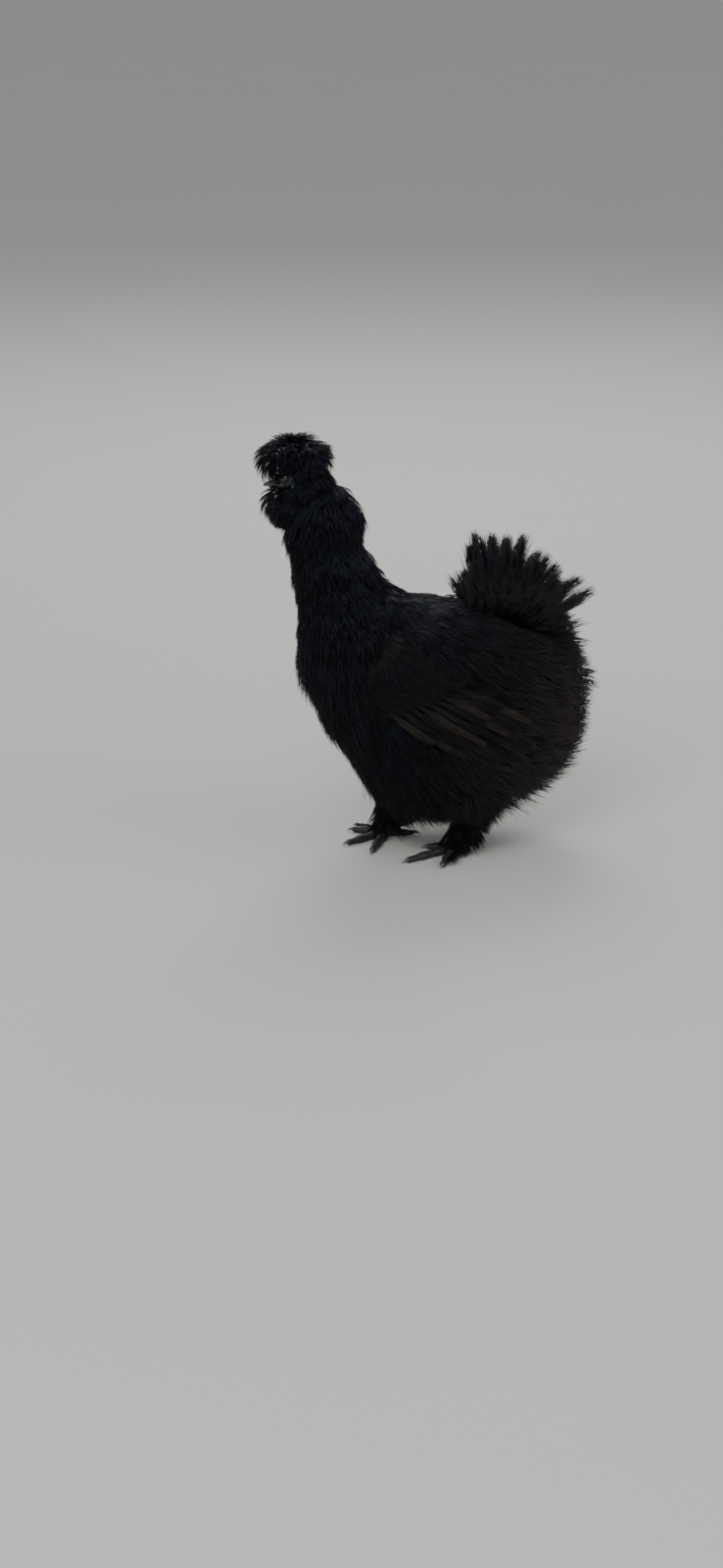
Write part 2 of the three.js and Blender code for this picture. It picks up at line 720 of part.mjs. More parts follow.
function tail(grow) {
    const random = dice(SEED.tail);
    const parts = [stub(grow)];
    for (const side of [-1, 1]) {
        for (let i = 0; i < TAIL_PAIRS; i++) {
            const share = (i + (side > 0 ? 0.25 : 0)) / TAIL_PAIRS;
            const angle = FAN_TOP + (FAN_BOTTOM - FAN_TOP) * share;
            const reach = vary(random, 1.03 * FAN_RADIUS, 0.07);
            parts.push(tailVane(angle, 5 + 3 * i, reach, TAIL_VANE_WIDTH, side, random, grow));
        }
        for (let i = 0; i < TAIL_PAIRS - 1; i++) {
            const angle = FAN_TOP - 4 * DEG + (FAN_BOTTOM - FAN_TOP) * (i + 0.5) / TAIL_PAIRS;
            const reach = vary(random, 0.8 * FAN_RADIUS, 0.05);
            parts.push(tailVane(angle, 14 + 3 * i, reach, TAIL_VANE_WIDTH - 1, side, random, grow));
        }
        for (let i = 0; i < CUSHION_PAIRS; i++) {
            const angle = FAN_TOP - 4 * DEG - 86 * DEG * i / (CUSHION_PAIRS - 1);
            parts.push(cushionLock(angle, side, random, grow));
        }
    }
    return union(parts);
}

// Legs
function limb(from, to, radii, sides, grow) {
    const way = to.clone().sub(from).normalize();
    const side = new THREE.Vector3(0, 1, 0);
    const up = way.clone().cross(side).normalize();
    const rings = radii.map((radius, i) => {
        const at = from.clone().lerp(to, i / (radii.length - 1));
        const ring = [];
        for (let j = 0; j < sides; j++) {
            const angle = 2 * Math.PI * j / sides;
            ring.push(at.clone()
                .addScaledVector(side, Math.cos(angle) * (radius + grow))
                .addScaledVector(up, Math.sin(angle) * (radius + grow)));
        }
        return ring;
    });
    const start = middle(rings[0]).addScaledVector(way, -grow);
    const end = middle(rings.at(-1)).addScaledVector(way, grow);
    return throughRings(rings, start, end);
}

function freeLock(root, way, droop, length, width, up, grow) {
    const points = [];
    const ups = [];
    for (const share of [0, 0.35, 0.72, 1]) {
        points.push(root.clone()
            .addScaledVector(way, length * share)
            .addScaledVector(UP, droop * share ** 2));
        ups.push(up.clone());
    }
    const widths = [0.55, 1, 0.8].map((share) => share * width / 2);
    const depths = [0.87, 0.78, 0.61].map((share) => share * LOCK_DEPTH / 2);
    return strip(points, ups, widths, depths, LOCK_SECTION, grow, LOCK_TILT);
}

function thighCore(leg, grow) {
    const radii = [0.8, 1, 0.8, 0.55, 0.3].map((share) => share * THIGH_RADIUS);
    return limb(leg.hip, leg.hock, radii, 8, grow);
}

function thighLocks(leg, grow) {
    const random = dice(SEED.thigh + leg.side);
    const locks = [];
    for (let row = 0; row < 2; row++) {
        for (let i = 0; i < THIGH_LOCKS; i++) {
            const share = 0.45 + 0.3 * row;
            const angle = leg.side * (5 + 50 * (i + 0.5 * row)) * DEG;
            const out = new THREE.Vector3(Math.cos(angle), Math.sin(angle), 0);
            const radius = THIGH_RADIUS * (0.85 - 0.25 * row);
            const at = leg.hip.clone().lerp(leg.hock, share).addScaledVector(out, radius - 4);
            const way = out.clone().multiplyScalar(0.45).add(new THREE.Vector3(0.1, 0, -0.9)).normalize();
            const length = vary(random, THIGH_LOCK[0] - 8 * row, 0.1);
            locks.push(freeLock(at, way, -2, length, vary(random, THIGH_LOCK[1], 0.1), out, grow));
        }
    }
    return locks;
}

const shank = (leg, grow) => {
    const radii = [1.25, 1.05, 0.95, 1, 1.15].map((share) => share * SHANK_RADIUS);
    return limb(leg.hock, leg.ankle, radii, 8, grow);
};

function bootLocks(leg, grow) {
    const random = dice(SEED.boot + leg.side);
    const locks = [];
    for (let i = 0; i < BOOT_LOCKS; i++) {
        const share = 0.3 + 0.6 * i / (BOOT_LOCKS - 1);
        const swing = (i % 2 ? 0.9 : 0.3) + 0.2 * random();
        const out = new THREE.Vector3(swing, leg.side, 0).normalize();
        const at = leg.hock.clone().lerp(leg.ankle, share).addScaledVector(out, SHANK_RADIUS - 3);
        const way = out.clone().add(new THREE.Vector3(0, 0, -0.55)).normalize();
        const length = Math.min(vary(random, BOOT_LOCK[0], 0.12), 1.5 * at.z);
        locks.push(freeLock(at, way, -1, length, BOOT_LOCK[1], UP, grow));
    }
    return locks;
}

// Toes lie on the floor with flat soles; the inner hind toe is doubled by a raised fifth
function toeLine(leg, i) {
    const pad = new THREE.Vector3(leg.ankle.x, leg.ankle.y, 0);
    if (i === 4) {
        const hind = new THREE.Vector3(leg.toes[3][0] - pad.x, leg.toes[3][1] - pad.y, 0);
        const lift = new THREE.Vector3(2, -leg.side * 9, FIFTH_TOE_RISE);
        const tip = pad.clone().addScaledVector(hind, 0.85).add(lift);
        return [pad.clone().setZ(7), tip];
    }
    const [x, y] = leg.toes[i];
    const sole = i === 3 ? HIND_TOE * TOE_RADIUS : TOE_RADIUS;
    return [pad.clone().setZ(sole), new THREE.Vector3(x, y, sole * 0.6)];
}

function toe(leg, i, grow) {
    const [from, tip] = toeLine(leg, i);
    const way = tip.clone().sub(from).normalize();
    const end = tip.clone().addScaledVector(way, -CLAW_LENGTH);
    const thick = i > 2 ? HIND_TOE : 1;
    const radii = [1.1, 0.95, 1, 0.65].map((share) => share * TOE_RADIUS * thick);
    return limb(from, end, radii, 6, grow);
}

function claw(leg, i) {
    const [from, tip] = toeLine(leg, i);
    const way = tip.clone().sub(from).normalize();
    const base = tip.clone().addScaledVector(way, -CLAW_LENGTH + CLAW_SET);
    const points = [0, 0.5, 1].map((share) => base.clone()
        .addScaledVector(way, CLAW_LENGTH * share)
        .addScaledVector(UP, 3.6 * share * (1 - share) - 1.2 * share));
    const up = way.clone().cross(new THREE.Vector3(way.y, -way.x, 0)).normalize();
    const ring = [[-0.8, -1], [0.8, -1], [1, 0.2], [0, 1.1], [-1, 0.2]];
    points.splice(1, 0, base.clone().addScaledVector(way, 0.15 * CLAW_LENGTH));
    const ups = points.map(() => (up.z < 0 ? up.clone().negate() : up.clone()));
    const girths = [1, 0.95, 0.65].map((share) => share * CLAW_RADIUS);
    return strip(points, ups, girths, girths, ring);
}

const floorBlock = (top) => {
    const geometry = new THREE.BoxGeometry(400, 400, 40);
    geometry.translate(0, 0, top - 20);
    return solid(geometry);
};

function foot(leg, grow) {
    const parts = [];
    for (let i = 0; i < 5; i++) {
        parts.push(toe(leg, i, grow));
    }
    const pad = new THREE.SphereGeometry(1, 8, 5);
    pad.scale(6.4 + grow, 6 + grow, 7.5 + grow);
    pad.translate(leg.ankle.x, leg.ankle.y, 4.5);
    parts.push(solid(pad));
    return union(parts);
}

function footLocks(leg, grow) {
    const locks = [];
    const [from, tip] = toeLine(leg, 2);
    for (let i = 0; i < FOOT_LOCKS; i++) {
        const at = from.clone().lerp(tip, 0.15 + 0.2 * i).setZ(4.2);
        const toeWay = tip.clone().sub(from).normalize();
        const out = new THREE.Vector3(toeWay.y * leg.side, -toeWay.x * leg.side, 0);
        const way = toeWay.clone().multiplyScalar(0.5 - 0.25 * i).add(out).setZ(0.22).normalize();
        locks.push(freeLock(at, way, -3.5, FOOT_LOCK[0] - 1.5 * i, FOOT_LOCK[1], UP, grow));
    }
    return locks;
}

// The finished hen
const hen = new THREE.Group();

function add(name, body, color, roughness) {
    const pieces = body.simplify(TIDY).decompose();
    pieces.sort((a, b) => b.volume() - a.volume());
    const { vertProperties, triVerts } = pieces[0].getMesh();
    const geometry = new THREE.BufferGeometry();
    geometry.setAttribute('position', new THREE.BufferAttribute(new Float32Array(vertProperties), 3));
    geometry.setIndex(new THREE.BufferAttribute(new Uint32Array(triVerts), 1));
    geometry.computeVertexNormals();
    const mesh = new THREE.Mesh(geometry, new THREE.MeshStandardMaterial({ color, roughness, metalness: 0 }));
    mesh.name = name;
    hen.add(mesh);
}

for (const [name, side] of [['left', -1], ['right', 1]]) {
    add(`eye_${name}`, eye(side, 0), EYE_BROWN, 0.08);
    add(`earlobe_${name}`, earlobeBall(side, 0).subtract(head(GAP)), TURQUOISE, 0.6);
    add(`wattle_${name}`, wattleBall(side, 0).subtract(union([head(GAP), beaks(GAP)])), MULBERRY, 0.6);
}
add('beak_upper', beakUpper(0).subtract(union([nostril(-1), nostril(1)])), HORN, 0.45);
add('beak_lower', beakLower(0), HORN, 0.45);
add('comb', combBulbs(0).subtract(union([head(GAP), beaks(GAP)])), MULBERRY, 0.65);
const sockets = union([eye(-1, GAP), eye(1, GAP), beaks(GAP), mouthCorner()]);
add('head', head(0).subtract(sockets), FACE, 0.7);

const headAll = union([head(GAP), trim(GAP)]);
const crestAll = union([crestCore(GAP), ...crestLocks(GAP)]);
const beardAll = union([beardCore(GAP), ...beardLocks(GAP)]);
const neckAll = union([neckCore(GAP), ...neckLocks(GAP)]);
add('crest', union([crestCore(0), ...crestLocks(0)]).subtract(headAll), PLUMAGE, 0.9);
add('beard', union([beardCore(0), ...beardLocks(0)])
    .subtract(union([headAll, neckCore(GAP), crestAll])), PLUMAGE, 0.9);
add('neck', union([neckCore(0), ...neckLocks(0)])
    .subtract(union([headAll, crestAll, beardAll])), PLUMAGE, 0.9);

const trunkCore = union([torsoCore(GAP), rumpCore(GAP), neckCore(GAP)]);
const wings = union([wing(-1, GAP), wing(1, GAP)]);
const tailAll = tail(GAP);
add('wing_left', wing(-1, 0).subtract(trunkCore), PLUMAGE, 0.85);
add('wing_right', wing(1, 0).subtract(trunkCore), PLUMAGE, 0.85);
add('tail', tail(0), FLUFF, 0.85);

const torsoFlesh = torsoCore(0).subtract(union([neckAll, tailAll]));
const torsoCoat = union(torsoLocks(0)).subtract(union([neckAll, wings, tailAll]));
add('torso', torsoFlesh.add(torsoCoat), PLUMAGE, 0.9);
const rumpFlesh = rumpCore(0).subtract(union([torsoCore(GAP), tailAll]));
const rumpCoat = union(rumpLocks(0)).subtract(union([torsoCore(GAP), ...torsoLocks(GAP), wings, tailAll]));
add('rump', rumpFlesh.add(rumpCoat), FLUFF, 0.9);

const coatAll = union([trunkCore, ...torsoLocks(GAP), ...rumpLocks(GAP)]);
const floor = floorBlock(0);
for (const [name, leg] of Object.entries(LEGS)) {
    const fixed = foot(leg, GAP);
    const thigh = union([thighCore(leg, 0), ...thighLocks(leg, 0)]);
    const crossing = [coatAll, shank(leg, GAP), ...bootLocks(leg, GAP)];
    if (name === 'right') {
        crossing.push(thighCore(LEGS.left, GAP), ...thighLocks(LEGS.left, GAP));
    }
    add(`thigh_${name}`, thigh.subtract(union(crossing)), FLUFF, 0.9);
    const bare = shank(leg, 0).add(union(bootLocks(leg, 0)));
    add(`shank_${name}`, bare.subtract(union([fixed, coatAll, ...footLocks(leg, GAP)])), SLATE, 0.7);
    const soles = foot(leg, 0).add(union(footLocks(leg, 0)));
    for (let i = 0; i < 5; i++) {
        add(`claw_${name}_${i + 1}`, claw(leg, i), HORN, 0.5);
    }
    add(`foot_${name}`, soles.subtract(floor), SLATE, 0.7);
}

const box = new THREE.Box3().setFromObject(hen);
const centre = box.getCenter(new THREE.Vector3());
hen.position.set(-centre.x, -centre.y, -box.min.z);

export default hen;
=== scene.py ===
"""A black bearded silkie hen in mid stride, dressed over its solid model.

One skin carries the body; over it lies a coat of frayed plumes, each a cluster of
fine tapered barbs. Numbers in millimetres are in the hen's own frame: it heads
towards -X, its left side is towards -Y and the floor is z = 0.
"""

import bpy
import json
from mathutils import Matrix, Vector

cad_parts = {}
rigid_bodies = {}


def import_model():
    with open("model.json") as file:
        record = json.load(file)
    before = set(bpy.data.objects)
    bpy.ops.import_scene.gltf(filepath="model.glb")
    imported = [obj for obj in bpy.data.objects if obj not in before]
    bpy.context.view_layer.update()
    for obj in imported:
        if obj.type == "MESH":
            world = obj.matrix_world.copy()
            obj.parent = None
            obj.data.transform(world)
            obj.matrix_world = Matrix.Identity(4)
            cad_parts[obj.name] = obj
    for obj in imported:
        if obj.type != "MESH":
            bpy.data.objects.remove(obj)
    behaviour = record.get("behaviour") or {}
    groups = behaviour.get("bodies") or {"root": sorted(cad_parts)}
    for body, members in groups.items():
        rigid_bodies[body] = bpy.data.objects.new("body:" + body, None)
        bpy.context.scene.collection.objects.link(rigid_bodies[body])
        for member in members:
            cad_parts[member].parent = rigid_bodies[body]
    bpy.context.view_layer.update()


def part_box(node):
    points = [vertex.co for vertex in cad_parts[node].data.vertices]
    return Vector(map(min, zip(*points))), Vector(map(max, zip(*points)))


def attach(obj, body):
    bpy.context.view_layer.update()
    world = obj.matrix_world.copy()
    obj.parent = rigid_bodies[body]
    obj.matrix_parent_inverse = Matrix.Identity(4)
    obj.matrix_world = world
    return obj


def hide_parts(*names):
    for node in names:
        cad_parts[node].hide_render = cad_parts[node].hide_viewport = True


bl_info = {
    "name": "Silkie Hen",
    "version": (1, 0, 0),
    "blender": (4, 5, 0),
    "location": "3D View > Sidebar > Hen",
    "description": "Builds a black silkie hen with its skin, plumage, face and feet",
    "category": "Object",
}

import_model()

import json
import math

import bmesh
import bpy
import numpy as np
from mathutils import Matrix, Vector
from mathutils.kdtree import KDTree

MM = 0.001
TAU = 2 * math.pi


def linear(text):
    """sRGB hex to a linear colour with alpha."""
    parts = [int(text[i : i + 2], 16) / 255 for i in (1, 3, 5)]
    return [c / 12.92 if c <= 0.04045 else ((c + 0.055) / 1.055) ** 2.4 for c in parts] + [1.0]


# Sizes of the hen, the same as those of the solids, in mm

# Side outline out to the tips of the coat: front or belly x, z, then back x, z
OUTLINE = np.array([
    [-100, 294, -58, 300],
    [-113, 270, -44, 280],
    [-110, 244, -41, 254],
    [-104, 212, -30, 226],
    [-101, 178, -10, 209],
    [-97, 146, 10, 202],
    [-78, 102, 34, 198],
    [-42, 36, 62, 192],
    [22, 18, 90, 182],
    [96, 30, 118, 168],
    [133, 78, 134, 153],
], float)
GIRTH = np.array([19, 30, 31, 40, 57, 71, 81, 84, 78, 58, 30], float)
COAT_FRONT = np.array([8, 9, 9, 10, 11, 12, 15, 31, 34, 31, 20], float)
COAT_BACK = np.array([8, 9, 9, 9, 9, 9, 10, 12, 14, 17, 18], float)
COAT_FLANK = np.array([7, 9, 9, 10, 12, 13, 14, 16, 18, 18, 15], float)
RUMP_END = np.array([124, 0, 119], float)
ROUND_OFF = 0.93

HEAD_AT = np.array([-92.7, 12.4, 300.5])
HEAD_TURN = math.radians(36)
SKULL_LENGTH = 37
SKULL_BACK = 17
SKULL_DEPTH = np.array([4, 10.5, 14, 14, 12.5, 9.5, 6])
SKULL_WIDTH = np.array([4, 10, 13, 13, 12, 9, 5.5])
SKULL_LIFT = np.array([2, 2, 2, 1.5, 0.5, -1.5, -3.5])
EYE_RADIUS = 4.2
EYE_AT = (-9, 8.9, 3)
MOUTH_HEIGHT = -5.4
BEAK_TIP = (-30, 0, -6.4)
BEAK_ROOT = -14
CREST_AT, CREST_RADII = (-4, 0, 15.5), (19, 18, 12)
BEARD_AT, BEARD_RADII = (-8, 0, -17), (14, 17.5, 12)

STUB_AT, STUB_RADII = np.array([60.0, 0, 160]), np.array([36.0, 24, 33])
FAN_RADIUS, FAN_PLUME_WIDTH = 86, 46
FAN_TOP, FAN_BOTTOM = math.radians(101), math.radians(16)

SHOULDER, ARM_END, FLIGHT_TIP = (-64, 165), (38, 118), (86, 92)
WING_HALF_DEPTH, WING_THICKNESS = 27, 10

LEGS = {
    "left": dict(side=-1, hip=(10, -40, 82), hock=(37, -33, 56), ankle=(20, -28, 7),
                 toes=[(-3, -13), (-30, -42), (-6, -64), (45, -16)]),
    "right": dict(side=1, hip=(2, 38, 82), hock=(-6, 30, 56), ankle=(-19, 25, 7),
                  toes=[(-46, -14), (-60, 13), (-44, 46), (9, 19)]),
}
# The hind toes are thinner than the others, and the fifth stands up from beside the fourth
SHANK_RADIUS, TOE_RADIUS, HIND_TOE = 4.4, 3.6, 0.85
FIFTH_TOE_REACH, FIFTH_TOE_TIP = 0.85, 17
CLAW_LENGTH, CLAW_RADIUS, THIGH_RADIUS = 7.5, 1.8, 21
SHANK_SCUTE, TOE_SCUTE = 3.4, 2.3

SIDES = {"left": -1, "right": 1}
# The trunk's halves, as angles round it
RIGHT_HALF = (-0.5 * math.pi, 0.5 * math.pi)
LEFT_HALF = (0.5 * math.pi, 1.5 * math.pi)
# How deep the skin lies under the form that the plumes' outline is measured from
SKIN_DEPTH = 2.5
# Lowest points of claws and soles, a hair over the floor
SOLE_HEIGHT = 0.05
COMB_KNOBS = 34
# Places tried when plumes are scattered over a form
TRIES = 24000
# A plume's share of the coat's map
PATCH = 0.003

# The stage in metres: the floor, the point that the lamps light, and each lamp's place
# from there, size and watts
FLOOR_REACH = 24.0
LIT_HEIGHT = 0.16
LAMPS = {
    "key": ((-1.3, -1.5, 1.7), 1.4, 34),
    "fill": ((1.5, -1.4, 1.0), 1.6, 14),
    "rim": ((0.6, 1.6, 1.6), 1.2, 26),
}
# The photo's camera: its place from the hen, how it is turned, and its lens in mm
CAMERA_AT = (-0.79921604, -2.06315918, 0.79)
CAMERA_YAW, CAMERA_PITCH = math.radians(20), math.radians(18.5)
SENSOR_HEIGHT, LENS = 36, 67.5


# Forms

def unit(rows):
    rows = np.asarray(rows, float)
    return rows / np.maximum(np.linalg.norm(rows, axis=-1, keepdims=True), 1e-9)


def xyz(x, y, z):
    """Points or ways from their three parts, each a number or an array."""
    return np.stack(np.broadcast_arrays(x, y, z), -1)


def spline(values, u):
    """Smooth values along 0 to 1, one or more columns."""
    values = np.asarray(values, float)
    place = np.clip(u, 0, 1) * (len(values) - 1)
    i = np.minimum(place.astype(int), len(values) - 2)
    t = place - i
    if values.ndim > 1:
        t = t[..., None]
    p, q = values[np.maximum(i - 1, 0)], values[i]
    r, s = values[i + 1], values[np.minimum(i + 2, len(values) - 1)]
    bend = (2 * p - 5 * q + 4 * r - s) * t**2 + (3 * q - p - 3 * r + s) * t**3
    return 0.5 * (2 * q + (r - p) * t + bend)


class Form:
    """A rounded form known by u along it and v round it."""

    def __init__(self, base):
        self.base = base

    def frame(self, u, v, height=0.0):
        """Points, the ways along and around, and the way out, at arrays u and v."""
        u, v = np.broadcast_arrays(np.asarray(u, float), np.asarray(v, float))
        step = 0.002
        along = (self.base(u + step, v) - self.base(u - step, v)) / (2 * step)
        around = (self.base(u, v + step) - self.base(u, v - step)) / (2 * step)
        out = unit(np.cross(around, along))
        points = self.base(u, v) + out * np.asarray(height)[..., None]
        return points, along, around, out

    def grid(self, start, end, rows, sides, height=0.0):
        """Vertices and faces of a closed body."""
        u, v = np.meshgrid(np.linspace(start, end, rows), np.arange(sides) / sides * TAU, indexing="ij")
        points = self.frame(u, v, height)[0].reshape(-1, 3)
        return tube_faces(points, rows, sides)


def tube_faces(points, rows, sides):
    """Faces of a tube through rings of points, with fans over both ends."""
    first, last = points[:sides].mean(0), points[-sides:].mean(0)
    n = len(points)
    faces = []
    for j in range(sides):
        k = (j + 1) % sides
        faces.append((n, k, j))
        faces.append((n + 1, n - sides + j, n - sides + k))
        for i in range(0, (rows - 1) * sides, sides):
            faces.append((i + j, i + k, i + sides + k, i + sides + j))
    return np.vstack([points, first, last]), faces


def trunk_section(u):
    row = spline(OUTLINE, u)
    front = xyz(row[..., 0], 0, row[..., 1])
    back = xyz(row[..., 2], 0, row[..., 3])
    up = unit(back - front)
    front = front + up * spline(COAT_FRONT, u)[..., None]
    back = back - up * spline(COAT_BACK, u)[..., None]
    half_height = np.linalg.norm(back - front, axis=-1) / 2
    return up, (front + back) / 2, half_height, spline(GIRTH, u) - spline(COAT_FLANK, u)


def trunk_base(u, v):
    up, centre, half_height, half_width = trunk_section(np.minimum(u, ROUND_OFF))
    past = np.maximum(u - ROUND_OFF, 0) / (1 - ROUND_OFF)
    rounding = np.sqrt(np.maximum(1 - past**2, 0.004))
    centre = centre + (RUMP_END - centre) * past[..., None]
    side = xyz(0, np.cos(v) * half_width * rounding, 0)
    return centre + up * (np.sin(v) * half_height * rounding)[..., None] + side


TRUNK = Form(trunk_base)


def coat_depth(u, v):
    """Depth of the coat over the trunk, which the tips reach."""
    face = np.where(np.sin(v) > 0, spline(COAT_BACK, u), spline(COAT_FRONT, u))
    return face * np.sin(v) ** 2 + spline(COAT_FLANK, u) * np.cos(v) ** 2


def flank(x, z, side):
    """The place u, v on the trunk's flank that is seen at x, z from the side."""
    x, z = np.broadcast_arrays(np.asarray(x, float), np.asarray(z, float))
    low, high = np.zeros(x.shape), np.full(x.shape, ROUND_OFF)
    for _ in range(24):
        u = (low + high) / 2
        up, centre, _, _ = trunk_section(u)
        ahead = (x - centre[..., 0]) * up[..., 2] - (z - centre[..., 2]) * up[..., 0] > 0
        low, high = np.where(ahead, u, low), np.where(ahead, high, u)
    up, centre, half_height, _ = trunk_section(low)
    lift = ((x - centre[..., 0]) * up[..., 0] + (z - centre[..., 2]) * up[..., 2]) / half_height
    v = np.arcsin(np.clip(lift, -1, 1))
    return low, v if side > 0 else math.pi - v


def on_head(points):
    """From the head's own axes to the hen's."""
    x, y, z = np.moveaxis(np.asarray(points, float), -1, 0)
    c, s = math.cos(HEAD_TURN), math.sin(HEAD_TURN)
    return xyz(x * c + y * s, y * c - x * s, z) + HEAD_AT


def skull_base(u, v):
    return on_head(xyz(
        SKULL_BACK - SKULL_LENGTH * u,
        -np.cos(v) * spline(SKULL_WIDTH, u),
        spline(SKULL_LIFT, u) + np.sin(v) * spline(SKULL_DEPTH, u),
    ))


def oval(centre, radii):
    """An egg on the head, with u down from its top."""
    def base(u, v):
        ring = np.sin(np.clip(u, 0, 1) * math.pi)
        return on_head(xyz(
            centre[0] + radii[0] * ring * np.cos(v),
            centre[1] - radii[1] * ring * np.sin(v),
            centre[2] + radii[2] * np.cos(u * math.pi),
        ))
    return Form(base)


SKULL = Form(skull_base)
CREST = oval(CREST_AT, CREST_RADII)
BEARD = oval(BEARD_AT, BEARD_RADII)

WING_WAY = np.array(FLIGHT_TIP, float) - SHOULDER
WING_LENGTH = np.linalg.norm(WING_WAY)
WING_WAY /= WING_LENGTH


def on_wing(back, up, side, height=0.0):
    """Points and ways on the flank, from distances back along the wing and up across it."""
    back, up = np.asarray(back, float), np.asarray(up, float)
    x = SHOULDER[0] + WING_WAY[0] * back - WING_WAY[1] * up
    z = SHOULDER[1] + WING_WAY[1] * back + WING_WAY[0] * up
    u, v = flank(x, z, side)
    return TRUNK.frame(u, v, height)


def limb(start, end, radii, sides=16):
    """A tapering tube from start to end."""
    start, end = np.array(start, float), np.array(end, float)
    way = unit(end - start)
    side = np.array([0, 1.0, 0]) if abs(way[1]) < 0.9 else np.array([1.0, 0, 0])
    up = unit(np.cross(way, side))
    side = np.cross(up, way)
    angles = np.arange(sides) / sides * TAU
    turn = np.cos(angles)[:, None] * side + np.sin(angles)[:, None] * up
    shares = np.linspace(0, 1, len(radii))
    rings = [start + (end - start) * t + turn * r for t, r in zip(shares, radii)]
    return tube_faces(np.vstack(rings), len(radii), sides)


def ball(centre, radii, sides=20, rows=12):
    """An egg, as vertices and faces."""
    angles = np.linspace(0.06, math.pi - 0.06, rows)
    turn = np.arange(sides) / sides * TAU
    a, t = np.meshgrid(angles, turn, indexing="ij")
    points = xyz(np.sin(a) * np.cos(t), np.sin(a) * np.sin(t), np.cos(a)).reshape(-1, 3)
    points, faces = tube_faces(points, rows, sides)
    return points * radii + centre, faces


def toe_line(leg, i):
    """From the pad to the claw's tip, as in the solids."""
    x, y = leg["ankle"][:2]
    if i == 4:
        across, along = FIFTH_TOE_REACH * (np.array(leg["toes"][3], float) - (x, y))
        tip = np.array([x + across + 2, y + along - leg["side"] * 9, FIFTH_TOE_TIP])
        return np.array([x, y, 7.0]), tip
    sole = TOE_RADIUS * (HIND_TOE if i == 3 else 1)
    return np.array([x, y, sole]), np.array([*leg["toes"][i], sole * 0.6])


# The hen's frame to the model's, from the place of the left eye in the solids
low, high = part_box("eye_left")
EYE_MIDDLE = on_head([[EYE_AT[0], -EYE_AT[1], EYE_AT[2]]])[0] * MM
SHIFT = (np.array(low) + np.array(high)) / 2 - EYE_MIDDLE


# Meshes

def add_mesh(name, points, faces, material):
    """A mesh object from points in the hen's frame."""
    mesh = bpy.data.meshes.new(name)
    mesh.from_pydata((np.asarray(points) * MM + SHIFT).tolist(), [], [tuple(map(int, f)) for f in faces])
    mesh.update()
    piece = bpy.data.objects.new(name, mesh)
    bpy.context.scene.collection.objects.link(piece)
    mesh.materials.append(material)
    face_out(mesh)
    mesh.shade_smooth()
    return piece


def face_out(mesh):
    work = bmesh.new()
    work.from_mesh(mesh)
    bmesh.ops.recalc_face_normals(work, faces=work.faces)
    work.to_mesh(mesh)
    work.free()


def store(mesh, name, data_type, values):
    """A named value on every vertex."""
    key = "vector" if data_type == "FLOAT_VECTOR" else "value"
    mesh.attributes.new(name, data_type, "POINT").data.foreach_set(key, np.ravel(values))


def vertices(mesh, key="co"):
    """The vertices' places or normals as rows."""
    rows = np.empty(len(mesh.vertices) * 3)
    mesh.vertices.foreach_get(key, rows)
    return rows.reshape(-1, 3)


def join_bodies(bodies):
    """Several bodies as one list of points and faces."""
    points, faces, start = [], [], 0
    for some_points, some_faces in bodies:
        points.append(some_points)
        faces += [tuple(i + start for i in face) for face in some_faces]
        start += len(some_points)
    return np.vstack(points), faces


def applied(piece):
    """The piece with its modifiers made real, as a plain mesh object."""
    graph = bpy.context.evaluated_depsgraph_get()
    made = piece.evaluated_get(graph)
    mesh = bpy.data.meshes.new_from_object(made, preserve_all_data_layers=True, depsgraph=graph)
    piece.modifiers.clear()
    old, piece.data = piece.data, mesh
    mesh.name = piece.name
    bpy.data.meshes.remove(old)
    return piece


def remeshed(name, bodies, material, cell, smoothing):
    """One closed surface round several bodies that cross, in cells of so many mm, evened out."""
    points, faces = join_bodies(bodies)
    piece = add_mesh(name, points, faces, material)
    remesh = piece.modifiers.new("Skin", "REMESH")
    remesh.mode = "VOXEL"
    remesh.voxel_size = cell * MM
    even = piece.modifiers.new("Even", "SMOOTH")
    even.factor = 0.5
    even.iterations = smoothing
    return applied(piece)


def settle(piece, slot, *nodes):
    """The piece rides with the body and stands for its solids."""
    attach(piece, "root")
    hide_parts(*nodes)


# Materials

def add(tree, kind, inputs=None, **settings):
    """A node with its settings, and its inputs set to values or linked from sockets."""
    made = tree.nodes.new(kind)
    for key, value in settings.items():
        setattr(made, key, value)
    for key, value in (inputs or {}).items():
        if isinstance(value, bpy.types.NodeSocket):
            tree.links.new(value, made.inputs[key])
        else:
            made.inputs[key].default_value = value
    return made


def new_material(name):
    material = bpy.data.materials.new(name)
    material.use_nodes = True
    tree = material.node_tree
    tree.nodes.clear()
    out = tree.nodes.new("ShaderNodeOutputMaterial")
    shader = tree.nodes.new("ShaderNodeBsdfPrincipled")
    tree.links.new(shader.outputs[0], out.inputs[0])
    material.diffuse_color = (0.02, 0.02, 0.03, 1)
    return material, tree, shader


